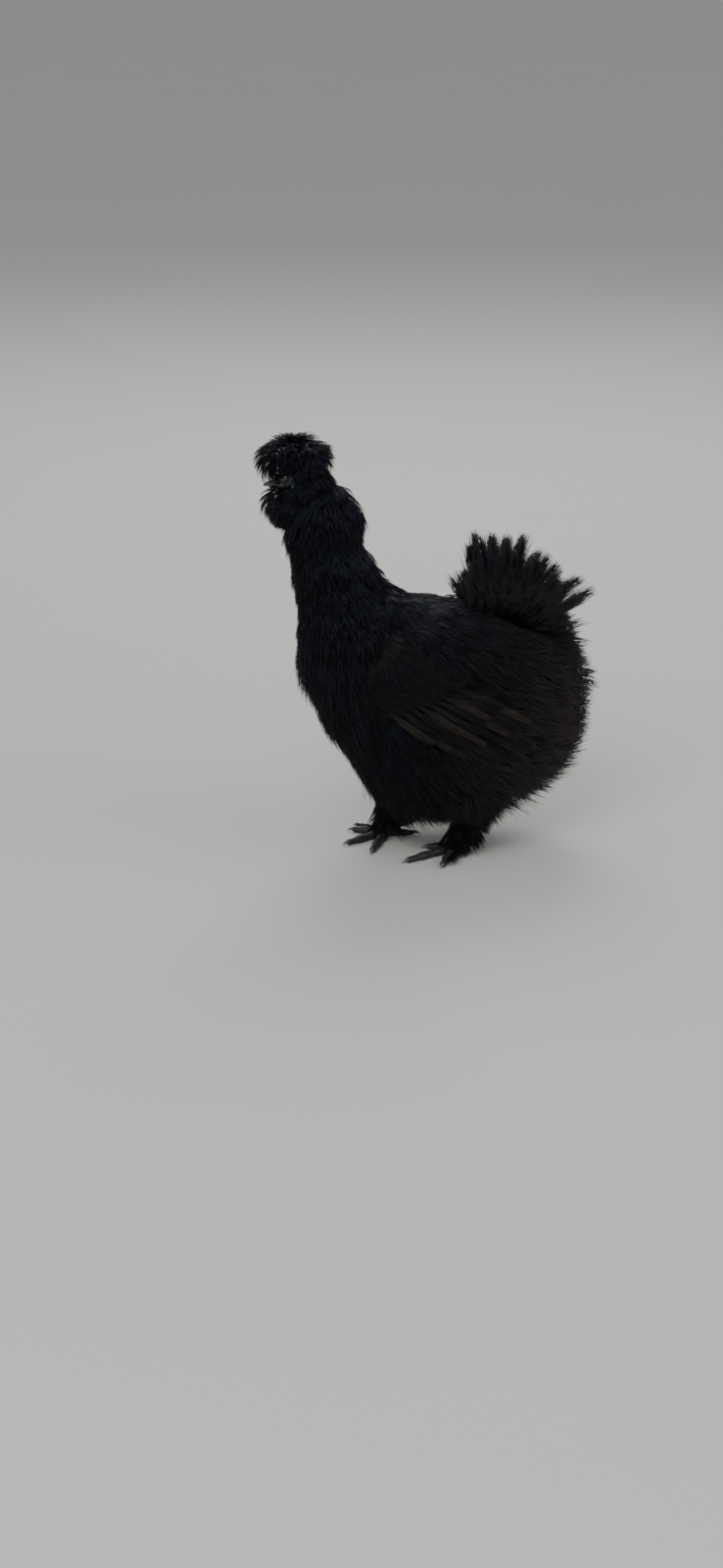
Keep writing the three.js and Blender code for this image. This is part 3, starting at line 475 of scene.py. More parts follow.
def plumage_material(name, front_painted_bluish, warm, brown):
    """Silkie plumage, keratin barbs without hooks: black in front with a painted bluish sheen, strongest
    on the lighter plumes, a browner black behind, and a greyer cast towards worn tips."""
    material, tree, shader = new_material(name)
    tone, sunned, worn, share = (
        add(tree, "ShaderNodeAttribute", attribute_name=key).outputs["Fac"]
        for key in ("tone", "sunned", "worn", "share"))
    place = add(tree, "ShaderNodeTexCoord").outputs["Object"]
    # Broad cloudiness of about 30 mm, as moulting coats have
    cloud = add(tree, "ShaderNodeTexNoise", {"Vector": place, "Scale": 1 / (30 * MM), "Detail": 2.0})
    lit = add(tree, "ShaderNodeMath", {0: tone, 1: cloud.outputs["Fac"]}, operation="MULTIPLY").outputs[0]
    tip = add(tree, "ShaderNodeMath", {0: share, 1: worn}, operation="MULTIPLY").outputs[0]
    # Painted light in front: both blacks there carry a painted bluish sheen, and the lighter one, laid on
    # plumes at random, carries the most
    front = add(tree, "ShaderNodeMix", {"Factor": lit, 6: front_painted_bluish[0], 7: front_painted_bluish[1]}, data_type="RGBA").outputs[2]
    rear = add(tree, "ShaderNodeMix", {"Factor": lit, 6: warm[0], 7: warm[1]}, data_type="RGBA").outputs[2]
    base = add(tree, "ShaderNodeMix", {"Factor": sunned, 6: front, 7: rear}, data_type="RGBA").outputs[2]
    colour = add(tree, "ShaderNodeMix", {"Factor": tip, 6: base, 7: brown}, data_type="RGBA").outputs[2]
    tree.links.new(colour, shader.inputs["Base Color"])
    shader.inputs["Roughness"].default_value = 0.55
    shader.inputs["Specular IOR Level"].default_value = 0.2
    shader.inputs["IOR"].default_value = 1.55
    return material


def skin_material(name, deep, high, grain_mm, roughness, bump_mm):
    """Living skin, finely pebbled, with the colour thinner on the grain's tops."""
    material, tree, shader = new_material(name)
    place = add(tree, "ShaderNodeTexCoord").outputs["Object"]
    grain = add(tree, "ShaderNodeTexVoronoi", {"Vector": place, "Scale": 1 / (grain_mm * MM)})
    grain = grain.outputs["Distance"]
    # Blotches of about 6 mm
    cloud = add(tree, "ShaderNodeTexNoise", {"Vector": place, "Scale": 1 / (6 * MM), "Detail": 4.0})
    blend = add(tree, "ShaderNodeMath", {0: cloud.outputs["Fac"], 1: grain}, operation="MULTIPLY")
    colour = add(tree, "ShaderNodeMix", {"Factor": blend.outputs[0], 6: high, 7: deep}, data_type="RGBA")
    bump = add(tree, "ShaderNodeBump", {"Height": grain, "Strength": 0.5, "Distance": bump_mm * MM})
    tree.links.new(colour.outputs[2], shader.inputs["Base Color"])
    tree.links.new(bump.outputs[0], shader.inputs["Normal"])
    shader.inputs["Roughness"].default_value = roughness
    shader.inputs["Specular IOR Level"].default_value = 0.4
    return material


def horn_material(name, root, tip, ridge_mm):
    """Horn of beak and claws: layered keratin, smooth, with growth lines."""
    material, tree, shader = new_material(name)
    place = add(tree, "ShaderNodeTexCoord").outputs["Object"]
    share = add(tree, "ShaderNodeAttribute", attribute_name="share").outputs["Fac"]
    lines = add(tree, "ShaderNodeTexNoise", {"Vector": place, "Scale": 1 / (ridge_mm * MM), "Detail": 3.0})
    lines = lines.outputs["Fac"]
    mixed = add(tree, "ShaderNodeMath", {0: lines, 1: 0.35, 2: share}, operation="MULTIPLY_ADD")
    colour = add(tree, "ShaderNodeMix", {"Factor": mixed.outputs[0], 6: root, 7: tip}, data_type="RGBA")
    bump = add(tree, "ShaderNodeBump", {"Height": lines, "Strength": 0.25, "Distance": 0.2 * MM})
    tree.links.new(colour.outputs[2], shader.inputs["Base Color"])
    tree.links.new(bump.outputs[0], shader.inputs["Normal"])
    shader.inputs["Roughness"].default_value = 0.36
    shader.inputs["Coat Weight"].default_value = 0.15
    return material


def eye_material(name, pupil, iris):
    """A dark wet eye: the clear cornea gives one sharp glint over a brown-black iris."""
    material, tree, shader = new_material(name)
    rim = add(tree, "ShaderNodeAttribute", attribute_name="share").outputs["Fac"]
    colour = add(tree, "ShaderNodeMix", {"Factor": rim, 6: pupil, 7: iris}, data_type="RGBA")
    tree.links.new(colour.outputs[2], shader.inputs["Base Color"])
    shader.inputs["Roughness"].default_value = 0.06
    shader.inputs["IOR"].default_value = 1.376
    shader.inputs["Coat Weight"].default_value = 1.0
    shader.inputs["Coat Roughness"].default_value = 0.03
    return material


def floor_material(name, tint):
    """Plain matt paper, a little uneven in tone."""
    material, tree, shader = new_material(name)
    place = add(tree, "ShaderNodeTexCoord").outputs["Object"]
    # Patches of about a third of a metre
    cloud = add(tree, "ShaderNodeTexNoise", {"Vector": place, "Scale": 3.0}).outputs["Fac"]
    darker = [c * 0.97 for c in tint[:3]] + [1.0]
    colour = add(tree, "ShaderNodeMix", {"Factor": cloud, 6: tint, 7: darker}, data_type="RGBA")
    tree.links.new(colour.outputs[2], shader.inputs["Base Color"])
    shader.inputs["Roughness"].default_value = 0.9
    return material


MATERIALS = {}


# Plumes

def barb(points, up, width):
    """A thin three-sided strand along points, tapering to a tip, and each vertex's share of its length."""
    points = np.asarray(points, float)
    ways = unit(np.gradient(points, axis=0))
    side = unit(np.cross(up, ways))
    lift = np.cross(ways, side)
    rings = []
    count = len(points) - 1
    for i in range(count):
        half = width / 2 * (0.7, 1.0, 0.8, 0.6)[min(i, 3)]
        rings += [points[i] - side[i] * half, points[i] + side[i] * half, points[i] + lift[i] * half * 0.8]
    rings.append(points[-1])
    faces = [(0, 2, 1)]
    for i in range(count - 1):
        for j in range(3):
            k = (j + 1) % 3
            a = 3 * i
            faces.append((a + j, a + k, a + 3 + k, a + 3 + j))
    a = 3 * (count - 1)
    faces += [(a + j, a + (j + 1) % 3, 3 * count) for j in range(3)]
    share = np.append(np.repeat(np.arange(count) / count, 3), 1.0)
    return np.array(rings), faces, share


def plume(name, seed, barbs, width, spread, arch, curl, strand, steps=3, shaft=0.5, web=0.0, taper=0.5):
    """One frayed plume of unit length along +X, lying flat with +Z out.

    width is half the spread of its tips, arch how high its middle stands, curl how
    far the ends fall, strand the barbs' thickness, shaft the share of the length that
    bears barbs, web how close the vane is, and taper how far it narrows to the tip."""
    dice = np.random.default_rng(seed)
    bodies, shares = [], []
    for i in range(barbs):
        side = 1 if i % 2 else -1
        start = shaft * (i / max(barbs - 1, 1)) ** 0.9
        reach = (1 - start) * dice.uniform(0.72, 1.0)
        throw = side * width * dice.uniform(0.25, 1.0) * (1 - taper * start) * (1 - web * start)
        t = np.linspace(0, 1, steps)
        wave = 0.03 * np.sin(t * 5 + dice.uniform(0, TAU)) * (1 - web)
        x = start + reach * t
        y = throw * np.sin(t * math.pi / 2 * spread) + wave
        z = arch * np.sin(np.clip(x, 0, 1) * math.pi) - curl * x**2 + dice.uniform(-0.04, 0.04) * t
        rings, faces, share = barb(xyz(x, y, z), (0, 0, 1), strand * dice.uniform(0.75, 1.2))
        bodies.append((rings, faces))
        shares.append(share * (start + reach))
    points, faces = join_bodies(bodies)
    mesh = bpy.data.meshes.new(name)
    mesh.from_pydata(points.tolist(), [], faces)
    face_out(mesh)
    store(mesh, "share", "FLOAT", np.clip(np.concatenate(shares), 0, 1))
    store(mesh, "cell", "FLOAT_VECTOR", np.clip(xyz(points[:, 0], points[:, 1] + 0.5, 0), 0, 1))
    mesh.shade_smooth()
    return bpy.data.objects.new(name, mesh)


PLUMES = {
    "hackle": dict(kinds=8, barbs=16, width=0.20, spread=1.0, arch=0.05, curl=0.05, strand=0.026),
    "body": dict(kinds=8, barbs=16, width=0.27, spread=1.0, arch=0.07, curl=0.06, strand=0.019),
    "fringe": dict(kinds=8, barbs=26, width=0.20, spread=1.0, arch=0.03, curl=0.0, strand=0.012, shaft=0.7),
    "fluff": dict(kinds=8, barbs=16, width=0.34, spread=0.9, arch=0.04, curl=0.02, strand=0.018),
    "crown": dict(kinds=6, barbs=14, width=0.30, spread=0.9, arch=0.16, curl=0.18, strand=0.030, steps=4),
    "flight": dict(kinds=5, barbs=110, width=0.10, spread=1.0, arch=0.07, curl=0.0, strand=0.010,
                   shaft=0.86, web=0.45),
    "fan": dict(kinds=5, barbs=110, width=0.20, spread=1.0, arch=0.05, curl=0.02, strand=0.013,
                shaft=0.84, web=0.25, taper=0.85),
}
SETS = {}


def plume_set(name):
    """A collection of like plumes, made once and kept out of the scene."""
    if name not in SETS:
        SETS[name] = bpy.data.collections.new(name)
        shape = dict(PLUMES[name])
        for i in range(shape.pop("kinds")):
            SETS[name].objects.link(plume(f"{name}_{i:02d}", 100 * len(name) + i, **shape))
    return SETS[name]


def plume_tree():
    """Geometry Nodes: a plume on every root, realised, let fall, ruffled and given its map."""
    tree = bpy.data.node_groups.new("Plumes on roots", "GeometryNodeTree")
    for name, kind in (
        ("Roots", "Geometry"), ("Plumes", "Collection"), ("Fall", "Float"), ("Ruffle", "Float"),
        ("Ruffle Size", "Float"), ("Material", "Material"),
    ):
        tree.interface.new_socket(name, in_out="INPUT", socket_type=f"NodeSocket{kind}")
    tree.interface.new_socket("Coat", in_out="OUTPUT", socket_type="NodeSocketGeometry")
    start = add(tree, "NodeGroupInput").outputs
    named = {}
    for name, data_type in (
        ("kind", "INT"), ("turn", "QUATERNION"), ("size", "FLOAT_VECTOR"), ("share", "FLOAT"),
        ("cell", "FLOAT_VECTOR"), ("root", "FLOAT_VECTOR"),
    ):
        found = add(tree, "GeometryNodeInputNamedAttribute", {"Name": name}, data_type=data_type)
        named[name] = next(s for s in found.outputs if s.enabled)
    kinds = add(tree, "GeometryNodeCollectionInfo", {
        "Collection": start["Plumes"], "Separate Children": True, "Reset Children": True,
    })
    planted = add(tree, "GeometryNodeInstanceOnPoints", {
        "Points": start["Roots"], "Instance": kinds.outputs[0], "Pick Instance": True,
        "Instance Index": named["kind"], "Rotation": named["turn"], "Scale": named["size"],
    })
    real = add(tree, "GeometryNodeRealizeInstances", {"Geometry": planted.outputs[0]})
    # The tips sink by the square of their share of the length
    square = add(tree, "ShaderNodeMath", {0: named["share"], 1: 2.0}, operation="POWER").outputs[0]
    drop = add(tree, "ShaderNodeMath", {0: square, 1: start["Fall"]}, operation="MULTIPLY").outputs[0]
    down = add(tree, "ShaderNodeVectorMath", {0: (0, 0, -1), "Scale": drop}, operation="SCALE").outputs[0]
    # Noise pushes them about, the more the nearer to the tip
    place = add(tree, "GeometryNodeInputPosition").outputs[0]
    pitch = add(tree, "ShaderNodeMath", {0: 1.0, 1: start["Ruffle Size"]}, operation="DIVIDE").outputs[0]
    noise = add(tree, "ShaderNodeTexNoise", {"Vector": place, "Scale": pitch, "Detail": 1.0}).outputs["Color"]
    middle = add(tree, "ShaderNodeVectorMath", {0: noise, 1: (0.5, 0.5, 0.5)}, operation="SUBTRACT")
    amount = add(tree, "ShaderNodeMath", {0: named["share"], 1: start["Ruffle"]}, operation="MULTIPLY")
    sway = add(tree, "ShaderNodeVectorMath", {
        0: middle.outputs[0], "Scale": amount.outputs[0],
    }, operation="SCALE")
    both = add(tree, "ShaderNodeVectorMath", {0: down, 1: sway.outputs[0]}, operation="ADD").outputs[0]
    moved = add(tree, "GeometryNodeSetPosition", {"Geometry": real.outputs[0], "Offset": both})
    # Each plume has its own small patch of the coat's map
    patch = add(tree, "ShaderNodeVectorMath", {0: named["cell"], "Scale": PATCH}, operation="SCALE")
    spot = add(tree, "ShaderNodeVectorMath", {0: named["root"], 1: patch.outputs[0]}, operation="ADD")
    mapped = add(tree, "GeometryNodeStoreNamedAttribute", {
        "Geometry": moved.outputs[0], "Name": "OFBake", "Value": spot.outputs[0],
    }, data_type="FLOAT2", domain="CORNER")
    dressed = add(tree, "GeometryNodeSetMaterial", {
        "Geometry": mapped.outputs[0], "Material": start["Material"],
    })
    add(tree, "NodeGroupOutput", {0: dressed.outputs[0]})
    return tree


TREES = []


def turns(ways, outs):
    """Quaternions that turn +X along ways and +Z as near outs as may be."""
    x = unit(ways)
    y = unit(np.cross(outs, x))
    z = np.cross(x, y)
    m = np.stack([x, y, z], -1)
    p, q, r = m[:, 0, 0], m[:, 1, 1], m[:, 2, 2]
    sums = np.stack([1 + p + q + r, 1 + p - q - r, 1 - p + q - r, 1 - p - q + r], -1)
    found = np.sqrt(np.maximum(0, sums)) / 2
    signs = xyz(m[:, 2, 1] - m[:, 1, 2], m[:, 0, 2] - m[:, 2, 0], m[:, 1, 0] - m[:, 0, 1])
    found[:, 1:] = np.copysign(found[:, 1:], signs)
    return found


class Roots:
    """Roots of one piece's plumes, gathered group by group."""

    def __init__(self, seed, plumes):
        self.dice = np.random.default_rng(seed)
        self.plumes = plumes
        self.rows = []

    def add(self, points, ways, outs, lengths, widths, across, along, worn=0.0, sunned=0.0):
        """Plumes at points in mm along ways, with the coat's side at outs, at places
        across and along the coat's map."""
        n = len(points)
        kinds = self.dice.integers(0, PLUMES[self.plumes]["kinds"], n)
        tone = self.dice.uniform(0, 1, n) ** 1.5
        ones = np.ones((n, 1))
        size, root = ones * xyz(lengths, widths, lengths), ones * xyz(across, along, 0)
        tints = np.broadcast_arrays(tone, worn, sunned)
        self.rows.append([points, turns(ways, outs), size, kinds, root, *tints])

    def grow(self, name, slot, nodes, fall, ruffle, ruffle_size):
        """The coat piece as a plain mesh, in place of its solids."""
        points, turn, size, kind, root, tone, worn, sunned = (np.concatenate(c) for c in zip(*self.rows))
        mesh = bpy.data.meshes.new(name)
        mesh.from_pydata((points * MM + SHIFT).tolist(), [], [])
        for label, data_type, values in (
            ("turn", "QUATERNION", turn), ("size", "FLOAT_VECTOR", size * MM), ("kind", "INT", kind),
            ("root", "FLOAT_VECTOR", root), ("tone", "FLOAT", tone), ("worn", "FLOAT", worn),
            ("sunned", "FLOAT", sunned),
        ):
            store(mesh, label, data_type, values)
        piece = bpy.data.objects.new(name, mesh)
        bpy.context.scene.collection.objects.link(piece)
        if not TREES:
            TREES.append(plume_tree())
        field = piece.modifiers.new("Plumes", "NODES")
        field.node_group = TREES[0]
        inputs = {
            "Plumes": plume_set(self.plumes), "Fall": fall * MM, "Ruffle": ruffle * MM,
            "Ruffle Size": ruffle_size * MM, "Material": material("plumage"),
        }
        for item in TREES[0].interface.items_tree:
            if item.name in inputs:
                field[item.identifier] = inputs[item.name]
        applied(piece)
        for label in ("turn", "size", "kind", "root", "cell"):
            found = piece.data.attributes.get(label)
            if found:
                piece.data.attributes.remove(found)
        piece.data.uv_layers.active = piece.data.uv_layers["OFBake"]
        # Low plumes lie on the floor, not in it
        places = vertices(piece.data)
        places[:, 2] = np.maximum(places[:, 2], 0.2 * MM + 0.02 * np.abs(places[:, 2]))
        piece.data.vertices.foreach_set("co", places.ravel())
        settle(piece, slot, *nodes)


# Settings shown in the sidebar

def length_setting(name, description, mm):
    return bpy.props.FloatProperty(name=name, description=description, default=mm * MM, unit="LENGTH")


def colour_setting(name, description, text):
    return bpy.props.FloatVectorProperty(
        name=name, description=description, default=linear(text), subtype="COLOR", size=4, min=0, max=1)


class HenPlumage(bpy.types.PropertyGroup):
    """Sizes of the plumage."""

    neck_length: length_setting("Hackle length", "Length of the plumes of the neck", 27)
    body_length: length_setting("Body plume length", "Length of the plumes of back, flank and breast", 40)
    fluff_length: length_setting("Fluff length", "Length of the plumes of the rump", 36)
    crest_length: length_setting("Crest length", "Length of the plumes of the crest", 19)
    neck_spacing: length_setting("Hackle spacing", "Distance between the roots of the neck's plumes", 4.4)
    body_spacing: length_setting("Body spacing", "Distance between the roots of the body's plumes", 5.8)
    fall: length_setting("Fall", "How far the tips of body plumes sink under their weight", 4)
    ruffle: length_setting("Ruffle", "How far wind and wear push the tips about", 7)


class HenColours(bpy.types.PropertyGroup):
    """Colours of the hen."""

    # The front's two plumage colours carry a painted bluish sheen, the lighter one the most
    black: colour_setting("Plumage", "Deepest black of the plumes", "#080a11")
    painted_bluish_sheen: colour_setting("Plumage light", "Cold grey of the lighter plumes", "#111a2e")
    brown: colour_setting("Sunned plumage", "Brown black of rear and wings", "#100e0f")
    brown_light: colour_setting("Sunned plumage light", "Lighter brown black of rear and wings", "#241f1f")
    worn: colour_setting("Worn tips", "Grey brown of worn tips", "#463e37")
    face: colour_setting("Face", "Bare skin of the face", "#141218")
    comb: colour_setting("Comb", "Mulberry of comb and wattles", "#2a1823")
    lobe: colour_setting("Earlobe", "Turquoise of the earlobes", "#12343a")
    legs: colour_setting("Legs", "Slate of shanks and toes", "#15171a")
    horn: colour_setting("Horn", "Grey of beak and claws", "#2a2d33")


def material(name):
    """A material of the hen, made once."""
    if name not in MATERIALS:
        tints = bpy.context.scene.hen_colours
        # Skins have a deeper and a higher colour, the grain's size in mm, the roughness and the
        # grain's height in mm, and horn has its colours at root and tip and the lines' size in mm
        kinds = {
            # Fibres that swallow light, so the coat is dark with soft edges and hardly a gleam, though its
            # front colours carry a painted bluish sheen
            "plumage": (plumage_material, "Black silkie plumage", (tints.black[:], tints.painted_bluish_sheen[:]),
                        (tints.brown[:], tints.brown_light[:]), tints.worn[:]),
            # Black skin of the breed, dull, so nothing pale shows between the plumes
            "skin": (skin_material, "Black fowl skin", linear("#0b0a0e"), linear("#131117"), 1.6, 0.9, 0.3),
            # Tighter, slightly oily skin, which catches a faint light round the eye
            "face": (skin_material, "Bare face skin", tints.face[:], linear("#231f28"), 0.8, 0.5, 0.25),
            # Moist warty flesh: a red cast and small soft lights on the knobs
            "comb": (skin_material, "Walnut comb flesh", tints.comb[:], linear("#452b39"), 0.9, 0.42, 0.35),
            # Smooth thin skin, the one spot of colour on the cheek
            "lobe": (
                skin_material, "Turquoise earlobe skin", tints.lobe[:], linear("#235059"), 0.7, 0.45, 0.2),
            # Overlapping horny scales, dry and half matt
            "legs": (skin_material, "Slate leg scales", tints.legs[:], linear("#282b2f"), 1.3, 0.5, 0.3),
            # Polished by use, so a thin line of light lies along it, paler towards the tip
            "horn": (horn_material, "Grey horn", tints.horn[:], linear("#5b5d5f"), 0.9),
            "claw": (horn_material, "Claw horn", linear("#33363b"), linear("#6b6a68"), 0.8),
            # Wet and nearly black, known by its glint
            "eye": (eye_material, "Wet black eye", linear("#040304"), linear("#1c0f0a")),
        }
        maker, *values = kinds[name]
        MATERIALS[name] = maker(*values)
    return MATERIALS[name]


# Where plumes are rooted

def scatter(form, spacing, seed, us, vs=(0.0, TAU)):
    """Places u, v spread evenly over a form, no two closer than most of the spacing."""
    dice = np.random.default_rng(seed)
    u, v = dice.uniform(*us, TRIES), dice.uniform(*vs, TRIES)
    points, along, around, _ = form.frame(u, v)
    area = np.linalg.norm(np.cross(along, around), axis=-1)
    whole = area.mean() * (us[1] - us[0]) * (vs[1] - vs[0])
    # Tried as often where the form is large as where it is small, seven times for each place
    tried = np.flatnonzero(dice.random(TRIES) < area / area.max())[: int(7 * whole / spacing**2)]
    u, v, points = u[tried], v[tried], points[tried]
    tree = KDTree(len(u))
    for i, point in enumerate(points):
        tree.insert(point, i)
    tree.balance()
    free = np.ones(len(u), bool)
    chosen = []
    for i, point in enumerate(points):
        if free[i]:
            chosen.append(i)
            for _, j, _ in tree.find_range(point, 0.8 * spacing):
                free[j] = False
    return u[chosen], v[chosen]


def between(share, ends):
    """Values between two ends, at shares of the way."""
    return np.interp(share, [0, 1], ends)


def lifted(ways, outs, angle):
    """Ways swung towards outs by an angle."""
    angle = np.asarray(angle)[..., None]
    return ways * np.cos(angle) + outs * np.sin(angle)


def turned(ways, outs, angle):
    """Ways turned about outs by an angle."""
    return lifted(ways, np.cross(outs, ways), angle)


def clear(points):
    """True where neither wing nor tail covers the trunk."""
    x, wide, z = points[:, 0], np.abs(points[:, 1]), points[:, 2]
    # A plume covers what is behind its root, so the wing counts as 8 mm further ahead
    behind, above = x + 8 - SHOULDER[0], z - SHOULDER[1]
    back = behind * WING_WAY[0] + above * WING_WAY[1]
    up = above * WING_WAY[0] - behind * WING_WAY[1]
    wing = (wide > 35) & (back > 6) & (back < 104) & (up > -14) & (up < 21 - back * 0.08)
    # The ground of the tail's cushion
    tail = (wide < 20) & (z > 140) & (x > 32) & (x < 90)
    return ~(wing | tail)


def trunk_map(u, v):
    """Places across and along the coat's map, the trunk's share of it."""
    return 0.02 + 0.62 * u, 0.01 + 0.97 * (v % TAU) / TAU


def plant_trunk(roots, u, v, length, spread, worn, turn=0.10):
    """Plumes on the trunk that lie back along it and whose tips reach its outline."""
    up, down = np.clip(np.sin(v), 0, 1), np.clip(-np.sin(v), 0, 1)
    depth = coat_depth(np.minimum(u + 0.03, 1), v) + SKIN_DEPTH
    points, along, _, out = TRUNK.frame(u, v, -SKIN_DEPTH)
    # The rump is the most ragged part
    ragged = np.interp(u, [0.72, 0.85], [1, 2.2])
    length = length * (0.97 + ragged * roots.dice.uniform(-0.15, 0.15, len(u)))
    # Longer under the belly, shorter round the rump
    length = length * (1 + 0.35 * down * (u > 0.5)) * np.interp(u, [0.8, 0.88, 0.97], [1, 0.8, 0.5])
    # How much of the coat's depth the tips reach: the back stands fuller than the breast
    share = 0.9 + 0.3 * up * np.interp(u, [0.3, 0.38, 0.58, 0.66], [0, 1, 1, 0])
    share = share + 0.35 * up * np.interp(u, [0.18, 0.25, 0.3, 0.38], [0, 1, 1, 0])
    share = share - 0.2 * down * np.interp(u, [0.45, 0.52, 0.64, 0.7], [0, 1, 1, 0])
    # The rump is rounded off below
    low = (0.70 * down + 0.40 * np.abs(np.cos(v))) * (np.sin(v) < 0.5)
    share = share - low * np.interp(u, [0.8, 0.9], [0, 1])
    # The hackles lie close behind the head
    share = share * np.interp(u, [0, 0.1, 0.2], [0.5, 0.55, 1])
    share = share * (1 - 0.5 * up * np.interp(u, [0.03, 0.09, 0.15, 0.2], [0, 1, 1, 0]))
    lift = np.arcsin(np.clip(share * depth / length, 0.12, 0.75))
    lift = lift * (0.925 + ragged * roots.dice.uniform(-0.175, 0.175, len(u)))
    ways = turned(unit(along), out, roots.dice.normal(0, turn, len(u)))
    sunned = np.clip((u - 0.5 - 0.15 * down) / 0.3, 0, 1)
    roots.add(points, lifted(ways, out, lift), out, length, length * spread, *trunk_map(u, v), worn, sunned)


def grow_trunk(name, node, slot, plumes, seed, us, vs, spacing, length):
    """One piece of the trunk's coat, with tips that are browner towards the rear."""
    u, v = scatter(TRUNK, spacing, seed, us, vs)
    free = clear(TRUNK.frame(u, v)[0])
    u, v = u[free], v[free]
    roots = Roots(seed, plumes)
    plant_trunk(roots, u, v, length, spread=1.0, worn=0.05 + 0.45 * np.clip((u - 0.6) / 0.3, 0, 1))
    sizes = bpy.context.scene.hen_plumage
    roots.grow(name, slot, [node], fall=sizes.fall / MM, ruffle=sizes.ruffle / MM, ruffle_size=22)


# Operators

class HEN_OT_skin(bpy.types.Operator):
    """One skin over body, head, legs and feet"""

    bl_idname = "hen.skin"
    bl_label = "Skin"

    def execute(self, context):
        bodies = [
            TRUNK.grid(0.004, 0.996, 46, 40, -SKIN_DEPTH), ball(STUB_AT, STUB_RADII - 4, 24, 14),
            CREST.grid(0.03, 0.66, 12, 20, -SKIN_DEPTH), BEARD.grid(0.08, 0.97, 14, 20, -SKIN_DEPTH),
        ]
        bodies += [self.arm(side) for side in SIDES.values()]
        for leg in LEGS.values():
            radii = np.array([0.8, 1, 0.8, 0.55, 0.3]) * THIGH_RADIUS - 1.5
            bodies.append(limb(leg["hip"], leg["hock"], radii))
        body = remeshed("skin", bodies, material("skin"), cell=2.6, smoothing=4)
        parts = [body]
        for name, leg in LEGS.items():
            part = remeshed(f"leg_{name}", self.leg(leg), material("legs"), cell=0.85, smoothing=3)
            self.scale(part, leg)
            parts.append(part)
        parts.append(remeshed("head_skin", self.head(), material("face"), cell=0.6, smoothing=3))
        with bpy.context.temp_override(active_object=body, selected_editable_objects=parts, object=body):
            bpy.ops.object.join()
        nodes = ["head", "neck", "torso", "rump"]
        nodes += [f"{part}_{side}" for part in ("thigh", "shank", "foot", "wing") for side in SIDES]
        settle(body, "face", *nodes)
        return {"FINISHED"}

    def arm(self, side):
        """The folded arm of the wing on the flank."""
        reach = math.dist(SHOULDER, ARM_END)
        rings = []
        for share in np.linspace(0, 1, 9):
            swell = math.sqrt(math.sin(math.pi * (0.06 + 0.86 * share)))
            half, out = WING_HALF_DEPTH * swell - 2, WING_THICKNESS * swell - 3
            ups = np.array([-half, -0.55 * half, 0.45 * half, half, 0.5 * half, -0.5 * half])
            heights = np.array([-1, out, out, -1, -6, -6])
            rings.append(on_wing(share * reach, ups, side, heights)[0])
        return tube_faces(np.vstack(rings), 9, 6)

    def leg(self, leg):
        """Shank, pad and toes."""
        x, y = leg["ankle"][:2]
        radii = np.array([1.25, 1.05, 0.95, 1, 1.15]) * SHANK_RADIUS - 0.25
        bodies = [limb(leg["hock"], leg["ankle"], radii), ball((x, y, 4.9), (6.1, 5.8, 4.8))]
        for i in range(5):
            start, tip = toe_line(leg, i)
            end = tip - unit(tip - start) * (CLAW_LENGTH - 2)
            thick = TOE_RADIUS * (HIND_TOE if i > 2 else 1)
            # Pads swell between the joints
            shares = np.linspace(0, 1, 17)
            swell = 1 + 0.09 * np.cos(shares * TAU * 3)
            taper = np.interp(shares, [0, 0.3, 0.7, 1], [1.1, 0.95, 0.95, 0.68])
            bodies.append(limb(start, end, thick * taper * swell - 0.2))
        return bodies

    def scale(self, piece, leg):
        """Scutes across the shank's front and the toes' tops, and flat soles."""
        points = (vertices(piece.data) - SHIFT) / MM
        normals = vertices(piece.data, "normal")
        lines = [(np.array(leg["hock"], float), np.array(leg["ankle"], float), SHANK_SCUTE)]
        lines += [(*toe_line(leg, i), TOE_SCUTE) for i in range(5)]
        best = np.full(len(points), 1e9)
        rise = np.zeros(len(points))
        for start, end, pitch in lines:
            way = end - start
            share = np.clip((points - start) @ way / (way @ way), 0, 1)
            gap = np.linalg.norm(points - start - share[:, None] * way, axis=1)
            reach = share * np.linalg.norm(way)
            step = 0.34 * np.minimum(1, 1.6 * np.abs(np.sin(math.pi * reach / pitch))) - 0.2
            rise = np.where(gap < best, step, rise)
            best = np.minimum(best, gap)
        # The scutes are on the tops of the toes and the front of the shank
        top = np.clip(normals[:, 2] * 1.5 + 0.6, 0, 1)
        front = np.clip(-normals[:, 0] + 0.6, 0.25, 1)
        points = points + normals * (rise * np.where(points[:, 2] > 14, front, top))[:, None]
        points[:, 2] = np.maximum(points[:, 2], SOLE_HEIGHT)
        piece.data.vertices.foreach_set("co", (points * MM + SHIFT).ravel())
        piece.data.update()

    def head(self):
        """Skull with brow, cheeks and the lids round the eyes."""
        bodies = [SKULL.grid(0.01, 0.985, 26, 28, -0.2)]
        x, y, z = EYE_AT
        ring = EYE_RADIUS + 0.35
        for side in SIDES.values():
            # Upper and lower lid meet at the corners of the eye
            for way, opening, radius in ((1, 0.78, 1.15), (-1, 0.74, 0.95)):
                arc = []
                for a in np.linspace(-1.25, 1.25, 13):
                    px = x + ring * math.sin(a)
                    pz = z + way * ring * math.cos(a) * opening
                    arc.append(on_head([px, side * (y + 2.1 - 0.09 * (px - x) ** 2 * 0.35), pz]))
                bodies += [limb(p, q, [radius, radius], 8) for p, q in zip(arc, arc[1:])]
            # Brow and cheek
            bodies.append(ball(on_head([x + 1, side * (y - 0.6), z + 5.2]), (6, 3.4, 2.6), 14, 8))
            bodies.append(ball(on_head([x - 2, side * (y - 1.2), z - 6.4]), (6.4, 3.2, 2.8), 14, 8))
        return bodies


def shell(name, points, faces, share, kind, slot, node):
    """A piece of eye or horn, with every vertex's share of the way to its tip."""
    piece = add_mesh(name, points, faces, material(kind))
    store(piece.data, "share", "FLOAT", share)
    settle(piece, slot, node)


